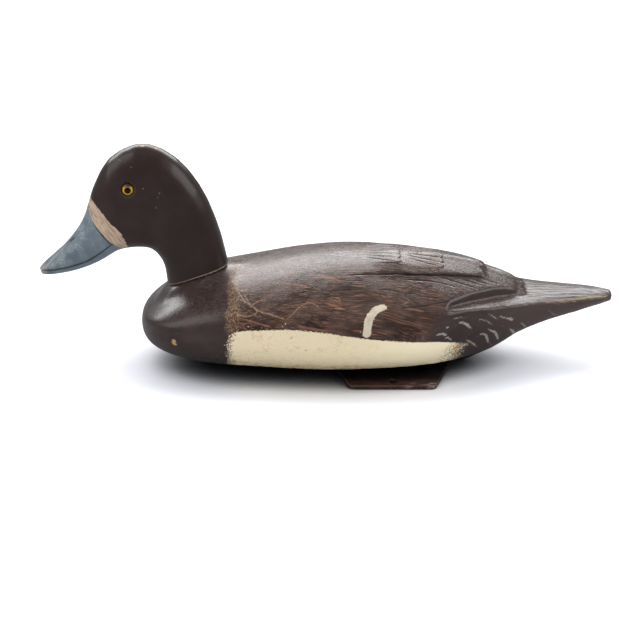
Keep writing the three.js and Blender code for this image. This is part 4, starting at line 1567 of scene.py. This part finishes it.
    def cuts_in_plan(self) -> tuple[list[Stroke], Stroke, Stroke]:
        """The knife lines, the step under the back feathers and the foot of the wing, seen from above.

        Returns:
            The lines, the step and the foot.
        """
        lines = [Stroke(path, self.line_width, 1.0, 0.7) for path in self.wing_lines]
        panel = Stroke(self.panel_edge, 1.2, 1.0, 0.6)
        foot = Stroke(self.wing_foot, 1.0, 0.4, 0.3)
        return [*lines, *self.feather_lines()], panel, foot

    def loop_strokes(self) -> list[Stroke]:
        """The looping scribbles, on the left side."""
        return [Stroke(path, 0.75, 1.0, 0.2) for path in self.loops]

    def wisp_strokes(self) -> list[Stroke]:
        """The reddish wisps, on the left side."""
        return [Stroke(path, 1.7, 0.9, 0.7) for path in self.wisps]

    def wing_strokes(self) -> list[Stroke]:
        """The thick white stroke of the wing, on the left side."""
        return [Stroke(self.wing_stroke, 5.0, 1.0, 0.1)]

    def wanted_width(self, points: np.ndarray) -> np.ndarray:
        """The face width that the carving and the brush strokes ask for.

        Args:
            points: Rows of x, y and z.

        Returns:
            A width for each point, in millimetres.
        """
        lines, panel, foot = self.cuts_in_plan()
        plan = folded(points)
        x, off_middle = plan.T
        carved = close_to([*lines, panel, foot], plan, 2.4)
        for row, half in enumerate(self.feather_half_widths):
            carved |= (np.abs(x - self.row_edge(row, points[:, 1])) < 1.6) & (off_middle < half + 1)
        carved |= (x > 118) & (points[:, 2] > 46.5) & (off_middle < 40)
        carved |= (off_middle < 2.5) & (x > 40)
        carved |= (np.abs(off_middle - self.band_from_y) < 1.5) & (x > 25) & (x < 104)
        brushed = close_to(self.wisp_strokes(), points, 1.5) | close_to(self.wing_strokes(), points, 2.1)
        width = np.full(len(points), UNDIVIDED)
        width[carved & (points[:, 2] > 46)] = 0.6
        width[close_to(self.loop_strokes(), points, 1.05)] = 0.4
        width[brushed & (points[:, 1] < 0)] = 0.55
        return width

    def feather_relief(self, points: np.ndarray) -> tuple[np.ndarray, np.ndarray]:
        """The rows of back feathers.

        Args:
            points: Rows of x, y and z.

        Returns:
            How far each point rises, in millimetres, and how strong the painted shadow behind each row is.
        """
        rise = np.zeros(len(points))
        shade = np.zeros(len(points))
        for row, half in enumerate(self.feather_half_widths):
            behind = self.row_edge(row, points[:, 1]) - points[:, 0]
            width = smoothstep(half + 1.5 - np.abs(points[:, 1]), 0, 2.5)
            ramp = np.clip(1 - behind / self.feather_ramp, 0, 1) ** 1.5 * smoothstep(behind, -0.6, 0.3)
            rise = np.maximum(rise, ramp * width * self.feather_rise)
            shade = np.maximum(shade, width * np.exp(-((behind + 0.4) / 0.4) ** 2))
        return rise, shade

    def back_form(self, plan: np.ndarray) -> np.ndarray:
        """The ridge of the back and the slope beside the back feathers.

        Args:
            plan: Rows of x and distance from the middle.

        Returns:
            How far each point rises, in millimetres, below zero on the slope.
        """
        x, off_middle = plan.T
        panel_half = np.interp(x, *np.array(self.panel_edge).T)
        in_panel = smoothstep(panel_half - off_middle, -0.3, 0.3)
        in_panel *= smoothstep(x, 26, 42) * smoothstep(103 - x, 0, 3)
        slope = self.band_slope * np.clip(off_middle - self.band_from_y, 0, 14) * in_panel
        ridge = self.ridge_rise * np.clip(1 - off_middle / self.ridge_half_width, 0, 1)
        return ridge * smoothstep(x, 45, 75) * smoothstep(129 - x, 0, 6) - slope

    def tail_grooves(self, points: np.ndarray, normals: np.ndarray) -> np.ndarray:
        """Where the dark grooves on top of the tail lie.

        Args:
            points: Rows of x, y and z.
            normals: The surface's direction at each.

        Returns:
            A value from 0 to 1 for each point.
        """
        solid = points_of(frame["nodes"]["body"])
        stations = np.arange(solid[:, 0].min(), solid[:, 0].max() + 8, 8)
        widths = [np.abs(solid[np.abs(solid[:, 0] - s) < 5][:, 1]).max(initial=1.0) for s in stations]
        half = np.interp(points[:, 0], stations, widths)
        wave = np.abs(np.sin(math.pi * self.grooves * (points[:, 1] / half + 1) / 2))
        tail = smoothstep(points[:, 0], 128, 138) * smoothstep(normals[:, 2], 0.5, 0.8)
        return tail * (1 - smoothstep(wave, 0.0, 0.32))

    def carve(self, piece: bpy.types.Object) -> None:
        """Cuts the feather edges and knife lines, and stores where painted shade darkens them.

        Args:
            piece: The piece to carve.
        """
        points = points_of(piece)
        plan = folded(points)
        back = smoothstep(points[:, 2], 44, 50)
        lines, panel_stroke, foot_stroke = self.cuts_in_plan()
        incised = lay(lines, plan, 0.6) * back
        panel = panel_stroke.cover(plan, 0.8) * back
        foot = foot_stroke.cover(plan, 0.8) * smoothstep(54 - points[:, 2], 0, 2) * back
        depth = incised * self.line_depth + panel * self.panel_depth + foot * self.foot_depth
        rise, shade = self.feather_relief(points)
        form = (rise + self.back_form(plan)) * back - depth
        set_points(piece, points + normals_of(piece) * form[:, None])
        groove = self.tail_grooves(points, normals_of(piece))
        nicks = lay([Stroke(path, 1.1, 1, 0.4) for path in self.nicks], points, 0.6)
        # Where painted shade darkens the cuts.
        cuts = [incised * 0.8, panel * 0.9, foot * 0.3, shade * back * 0.85, groove * 0.8, nicks]
        keep_values(piece, "cut", np.clip(np.maximum.reduce(cuts), 0, 1))

    def patch_distance(self, points: np.ndarray) -> np.ndarray:
        """How far each point is below the cream flank patch's top edge, in millimetres."""
        top = curve_through(self.patch_top)
        return (np.interp(points[:, 0], top[:, 0], top[:, 1]) - points[:, 2]) * 0.92

    def paint(self, piece: bpy.types.Object) -> None:
        """Stores where each kind of paint lies.

        Args:
            piece: The piece to paint.
        """
        points = points_of(piece)
        normals = normals_of(piece)
        chine = np.interp(points[:, 0], *np.array(self.chine).T)
        # Where the underside below the chine takes the painted shade.
        bottom = smoothstep(chine - points[:, 2], -3, 3) * smoothstep(-normals[:, 2], 0.2, 0.4)
        keep_values(piece, "patch", self.patch_distance(points))
        keep_values(piece, "under", bottom)
        keep_values(piece, "topside", smoothstep(normals[:, 2], 0.55, 0.9))
        keep_values(piece, "upper", smoothstep(points[:, 2], 38, 46))
        keep_values(piece, "loops", lay(self.loop_strokes(), points, 0.4))
        keep_values(piece, "bare", bare_spots(self.chips, points))

        side = points[:, [0, 2]]
        flank = [Stroke(knots, width * 0.74, strength, 0.75) for knots, width, strength in self.flank_strokes]
        strong = [stroke for stroke in flank if stroke.strength > 0.8]
        outward = smoothstep(np.abs(normals[:, 1]), 0.25, 0.4)
        strokes = np.where(points[:, 1] < 0, lay(flank, side), lay(strong[::2], side - self.right_shift))
        keep_values(piece, "stroke", strokes * outward)
        wing = self.wing_strokes()
        gaps = [distance_to(points, curve_through(s.knots), 6.0)[0] for s in (*wing, *mirrored(wing))]
        keep_values(piece, "wing", wing[0].width / 2 - np.minimum(*gaps))
        wisps = self.wisp_strokes()
        keep_values(piece, "wisp", lay([*wisps, *mirrored(wisps[::2])], points, 0.7))
        ridge = [Stroke(self.tail_wear, 5.0, 0.8, 0.3)]
        keep_values(piece, "wear", lay([*ridge, *mirrored(ridge)], points, 4.0))


@dataclass
class CarvedHead:
    """The head, neck and bill, carved as one."""

    sanding: Sanding = Sanding(0.8, 26.0, 0.6, 60, 0.06, (0.8, 4.5))
    cuts_from_x: float = -135.0
    lip_depth: float = 0.35
    blaze_top: float = 118.0
    mouth: Path = (
        (-139, 85.5), (-144, 81), (-150.5, 76), (-158, 72), (-170, 68.6), (-183, 66.4), (-189, 65.2),
    )
    nostril: Path = ((-167.4, 84.2), (-164.5, 86.9))
    bill_seam: Path = ((-138.6, 84.6), (-143.6, 90.4), (-148.4, 95.6), (-151.5, 100))
    scratches: tuple[Path, ...] = (
        ((-125.8, -14.6, 138.7), (-124.8, -15.9, 137)),
        ((-117.6, -21.1, 125.8), (-116.7, -21.3, 124.4)),
        ((-107.4, -20.3, 123.5), (-106.8, -20.8, 121)),
        ((-109.8, -22.3, 113.8), (-108.9, -22.3, 112.2)),
        ((-130.2, -22.8, 108.3), (-129, -22.9, 107.8)),
        ((-121.5, -23.1, 103.4), (-120.6, -23, 102.4)),
        ((-134.3, -8.2, 141.2), (-131.9, -10.8, 140.2)),
    )
    bill_edge: Path = (
        (72, -126), (78, -130), (81.7, -132.6), (87.8, -140), (93.8, -146.5), (97.5, -149.8), (103.6, -153.3),
        (108.6, -155), (113, -156.5), (122, -158),
    )
    blaze_edge: Path = (
        (72, -126), (78, -127.5), (82.6, -128.9), (90.6, -130.8), (97.2, -134.6), (101.1, -139.4),
        (106.8, -144.3), (112.3, -150.5), (116, -155.5), (122, -162),
    )
    chips: tuple[tuple[Point, float], ...] = (
        ((-118.4, -2.4, 148.4), 1.2), ((-116.2, -1.2, 148.8), 0.9), ((-110, -1.6, 147), 1.2),
        ((-107.4, -1, 146), 0.7),
    )
    seat: Path = ((-104.5, 54.3), (-64, 68.3))
    seat_bow: float = 2.2
    seat_gap: float = 0.45

    def build(self) -> bpy.types.Object:
        """Makes the whole piece and returns it.

        Returns:
            The piece.
        """
        piece = self.sanding.copy_of_node("head", "carved_head")
        refine(piece, self.wanted_width, 1)
        self.carve(piece)
        self.paint(piece)
        LOG.info("carved head: %d triangles", triangles_in(piece))
        return piece

    def cuts(self) -> tuple[Stroke, Stroke, Stroke]:
        """The mouth, the nostril and the seam of the bill, seen from the side.

        Returns:
            The three of them.
        """
        mouth = Stroke(self.mouth, 1.15, 1.0, 0.3)
        nostril = Stroke(self.nostril, 1.2, 0.75, 0.3)
        seam = Stroke(self.bill_seam, 1.1, 0.9, 0.75)
        return mouth, nostril, seam

    def wanted_width(self, points: np.ndarray) -> np.ndarray:
        """The face width that the mouth and the nostrils ask for, in millimetres."""
        near = close_to(self.cuts(), points[:, [0, 2]], 1.6)
        return np.where(near & (points[:, 0] < self.cuts_from_x), 0.4, UNDIVIDED)

    def carve(self, piece: bpy.types.Object) -> None:
        """Cuts the lines of the bill a little deeper, and seats the neck.

        Args:
            piece: The piece to carve.
        """
        points = points_of(piece)
        normals = normals_of(piece)
        side = points[:, [0, 2]]
        off_middle = np.abs(points[:, 1])
        outward = smoothstep(np.abs(normals[:, 1]), 0.2, 0.5)
        mouth, nostril, seam = self.cuts()
        lip = mouth.cover(side, 0.7) * np.maximum(outward, smoothstep(off_middle, 8, 10))
        slot = nostril.cover(side, 0.6) * smoothstep(7.5 - off_middle, 0, 0.8)
        joint = seam.cover(side, 0.6) * outward
        # Where painted shade darkens the mouth line, the nostril slot and the seam of the bill.
        keep_values(piece, "cut", np.clip(np.maximum.reduce([lip * 0.9, slot, joint]), 0, 1))
        foot = 1 - smoothstep(self.above_seat(points), 0.5, 3.0)
        lowered = points - normals * (lip * self.lip_depth)[:, None] - np.outer(foot, (0, 0, self.seat_gap))
        set_points(piece, lowered)

    def above_seat(self, points: np.ndarray) -> np.ndarray:
        """How high each point of the neck is above the seat.

        Args:
            points: Rows of x, y and z.

        Returns:
            The heights, in millimetres, and 99 for the head.
        """
        (front, low), (rear, high) = self.seat
        along = (2 * points[:, 0] - front - rear) / (rear - front)
        foot = (low + high) / 2 + along * (high - low) / 2 + self.seat_bow * (1 - along * along)
        return np.where((points[:, 0] > -112) & (points[:, 2] < 90), points[:, 2] - foot, 99.0)

    def paint(self, piece: bpy.types.Object) -> None:
        """Stores where the blaze, the bill, the seat line and the bare wood lie.

        Args:
            piece: The piece to paint.
        """
        points = points_of(piece)
        x, _, z = points.T
        bill = curve_through(self.bill_edge)
        blaze = curve_through(self.blaze_edge)
        to_bill = x - np.interp(z, bill[:, 0], bill[:, 1])
        to_head = np.interp(z, blaze[:, 0], blaze[:, 1]) - x
        keep_values(piece, "bill", -to_bill * 0.8)
        keep_values(piece, "blaze", np.where(z < self.blaze_top, np.minimum(to_bill, to_head) * 0.8, -5.0))
        keep_values(piece, "seat", self.above_seat(points) + self.seat_gap)
        keep_values(piece, "bare", bare_spots(self.chips, points))
        scratches = [Stroke(path, 0.7, 1, 0.6) for path in self.scratches]
        keep_values(piece, "scratch", lay(scratches, points, 0.5))


@dataclass
class GlassEye:
    """One glass eye: a ball with a clear bulge over its iris."""

    side: Side
    bulge: float = 0.35
    iris_radius: float = 3.6

    def build(self) -> bpy.types.Object:
        """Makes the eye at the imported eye's place and size.

        Returns:
            The piece.
        """
        name = f"eye_{self.side.name.lower()}"
        low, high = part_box(name)
        middle = (low + high) / 2
        radius = (high.z - low.z) / 2
        bpy.ops.object.select_all(action="DESELECT")
        bpy.ops.mesh.primitive_uv_sphere_add(segments=48, ring_count=32, radius=radius, location=middle)
        piece = bpy.context.active_object
        piece.name = f"glass_{name}"
        with edit(piece) as mesh:
            bpy.ops.mesh.select_all(action="SELECT")
            bpy.ops.transform.rotate(value=math.pi / 2, orient_axis="X", center_override=middle)
            bpy.ops.mesh.select_all(action="DESELECT")
            reach = self.iris_radius * MM
            for vertex in mesh.verts:
                outward = vertex.co.y * self.side.value > 0
                vertex.select_set(outward and math.hypot(vertex.co.x, vertex.co.z) < reach)
            bmesh.update_edit_mesh(piece.data)
            bpy.ops.transform.translate(value=(0, self.side.value * self.bulge * MM, 0))
        bpy.ops.object.transform_apply(location=True, rotation=True, scale=True)
        apply_modifier(piece, "SMOOTH", factor=0.5, iterations=3)
        bpy.ops.object.shade_smooth()
        piece.data.materials.append(EyeGlass().make((middle.x / MM, middle.z / MM)))
        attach(piece, "decoy")
        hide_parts(name)
        LOG.info("%s: %d triangles", piece.name, triangles_in(piece))
        return piece


@dataclass
class IronKeel:
    """The keel plate with its pins, and the wire staples that hold them."""

    voxel: float = 0.75
    pit_depths: tuple[float, ...] = (0.1, 0.07)
    pit_sizes: tuple[float, ...] = (3.4, 1.2)
    pit_rise: float = 0.02
    worn_edge: float = 1.8
    wire_round: float = 0.55

    def plate(self) -> bpy.types.Object:
        """The plate, with rounded and pitted edges.

        Returns:
            The piece.
        """
        piece = copy_of("keel_plate", "iron_keel_plate")
        creases = creases_of(piece, 40, 0.5)
        apply_modifier(piece, "REMESH", mode="VOXEL", voxel_size=self.voxel * MM)
        apply_modifier(piece, "SMOOTH", factor=0.5, iterations=3)
        gap = distances_to_creases(piece, creases)
        points = points_of(piece)
        pitted = np.zeros(len(points))
        for depth, size in zip(self.pit_depths, self.pit_sizes):
            pitted += depth * np.array([noise.noise(Vector(point / size)) for point in points])
        set_points(piece, points + normals_of(piece) * np.minimum(pitted, self.pit_rise)[:, None])
        keep_values(piece, "edge", 1 - smoothstep(gap, 0.0, self.worn_edge))
        return piece

    def staple(self, node: str) -> bpy.types.Object:
        """One staple of round wire.

        Args:
            node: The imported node.

        Returns:
            The piece.
        """
        piece = copy_of(node, f"wire_{node}")
        apply_modifier(piece, "BEVEL", width=self.wire_round * MM, segments=3, limit_method="ANGLE",
                       angle_limit=math.radians(50))
        keep_values(piece, "edge", np.zeros(len(piece.data.vertices)))
        return piece

    def build(self) -> None:
        """Makes and dresses the plate and both staples."""
        rust = KeelRust().make()
        pieces = [(self.plate(), "keel_plate", "keel")]
        pieces += [(self.staple(node), node, "decoy") for node in ("keel_staple_front", "keel_staple_rear")]
        for piece, node, body in pieces:
            solo(piece)
            bpy.ops.object.shade_smooth_by_angle(angle=math.radians(40))
            piece.data.materials.append(rust)
            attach(piece, body)
            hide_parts(node)
            LOG.info("%s: %d triangles", piece.name, triangles_in(piece))


@dataclass
class Studio:
    """A pale floor with a painted contact shadow, soft light and the camera."""

    camera_place: Point = (-3.5, -1409.54, 540.53)
    camera_pitch: float = 70.0
    lens: float = 126.56
    floor_size: float = 3600.0
    contact_shadow_reach: float = 28.0
    floor_colour: str = "F2F4FB"
    contact_shadow_colour: str = "26262A"
    mirrored_colour: str = "7E7E80"
    key_lamps: tuple[tuple[Point, Point, float], ...] = (
        ((-60, 500, 1300), (1300, 1100), 13),
        ((-1100, -100, 760), (600, 1000), 5),
        ((1100, -100, 800), (600, 1000), 5),
    )
    sheen_lamps: tuple[tuple[Point, Point, float], ...] = (
        ((-250, 1150, 740), (2000, 480), 18),
        ((1120, 40, 860), (900, 800), 7),
        ((-1000, 60, 950), (600, 1200), 4.5),
    )
    fill: float = 0.95
    sheen_fill: float = 0.2
    backdrop: float = 1.1

    def floor(self) -> None:
        """The floor that the decoy stands on, with a painted shadow where it comes close to the decoy."""
        bpy.ops.object.select_all(action="DESELECT")
        bpy.ops.mesh.primitive_plane_add(size=self.floor_size * MM, location=(0, 0, 0))
        piece = bpy.context.active_object
        piece.name = "floor"
        material, sheet, shader = principled("floor")
        mirrored_light = Value(sheet, sheet.node("ShaderNodeLightPath").outputs["Is Glossy Ray"])
        open_air = sheet.node("ShaderNodeAmbientOcclusion", samples=12)
        open_air.inputs["Distance"].default_value = self.contact_shadow_reach * MM
        # Painted contact shadow: the floor turns dark where it lies close to the decoy.
        contact_shadow = Value(sheet, open_air.outputs["AO"]).ease(0.6, 0.05)
        seen = sheet.mix(contact_shadow, self.floor_colour, self.contact_shadow_colour)
        sheet.feed(shader.inputs["Base Color"], sheet.mix(mirrored_light, seen, self.mirrored_colour))
        shader.inputs["Roughness"].default_value = 0.7
        shader.inputs["Specular IOR Level"].default_value = 0.2
        piece.data.materials.append(material)

    def light(self) -> None:
        """Large soft lamps above, broad lamps for the sheen alone, an even fill and a white backdrop."""
        for i, (place, size, power) in enumerate((*self.key_lamps, *self.sheen_lamps)):
            lamp = bpy.data.lights.new(f"lamp_{i}", "AREA")
            lamp.shape = "RECTANGLE"
            lamp.size, lamp.size_y = size[0] * MM, size[1] * MM
            lamp.energy = power
            holder = bpy.data.objects.new(f"lamp_{i}", lamp)
            holder.location = Vector(place) * MM
            holder.rotation_euler = (-holder.location).to_track_quat("-Z", "Y").to_euler()
            holder.visible_glossy = i >= len(self.key_lamps)
            holder.visible_diffuse = not holder.visible_glossy
            bpy.context.scene.collection.objects.link(holder)
        world = bpy.data.worlds.new("studio")
        world.use_nodes = True
        sheet = Sheet(world.node_tree)
        rays = sheet.node("ShaderNodeLightPath")
        seen = Value(sheet, rays.outputs["Is Camera Ray"])
        mirrored_light = Value(sheet, rays.outputs["Is Glossy Ray"])
        background = world.node_tree.nodes["Background"]
        background.inputs["Color"].default_value = (1, 1, 1, 1)
        unseen = self.fill + mirrored_light * (self.sheen_fill - self.fill)
        sheet.feed(background.inputs["Strength"], unseen + seen * (self.backdrop - self.fill))
        world.cycles.sampling_method = "NONE"
        bpy.context.scene.world = world
        bpy.context.scene.view_settings.view_transform = "Standard"

    def camera(self) -> None:
        """The camera, square to the duck's left side and a little above it."""
        lens = bpy.data.cameras.new("camera")
        lens.lens = self.lens
        lens.sensor_width = 36
        lens.clip_end = 50
        holder = bpy.data.objects.new("camera", lens)
        holder.location = Vector(self.camera_place) * MM
        holder.rotation_euler = (math.radians(self.camera_pitch), 0, 0)
        bpy.context.scene.collection.objects.link(holder)
        bpy.context.scene.camera = holder

    def build(self) -> None:
        """Sets up the floor, the light and the camera."""
        self.camera()
        self.floor()
        self.light()


def dress(piece: bpy.types.Object, material: bpy.types.Material, node: str) -> None:
    """Paints a carved piece and puts it in place of its node.

    Args:
        piece: The carved piece.
        material: Its paint.
        node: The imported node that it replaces.
    """
    solo(piece)
    bpy.ops.object.shade_smooth()
    piece.data.materials.append(material)
    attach(piece, "decoy")
    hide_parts(node)


def main() -> None:
    """Builds the decoy and its setting."""
    logging.basicConfig(level=logging.INFO)
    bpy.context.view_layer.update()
    Studio().build()
    effects = Effects()
    dress(CarvedBody().build(), BodyPaint().make(effects), "body")
    dress(CarvedHead().build(), HeadPaint().make(effects), "head")
    for side in Side:
        GlassEye(side).build()
    IronKeel().build()


if __name__ == "__main__":
    main()
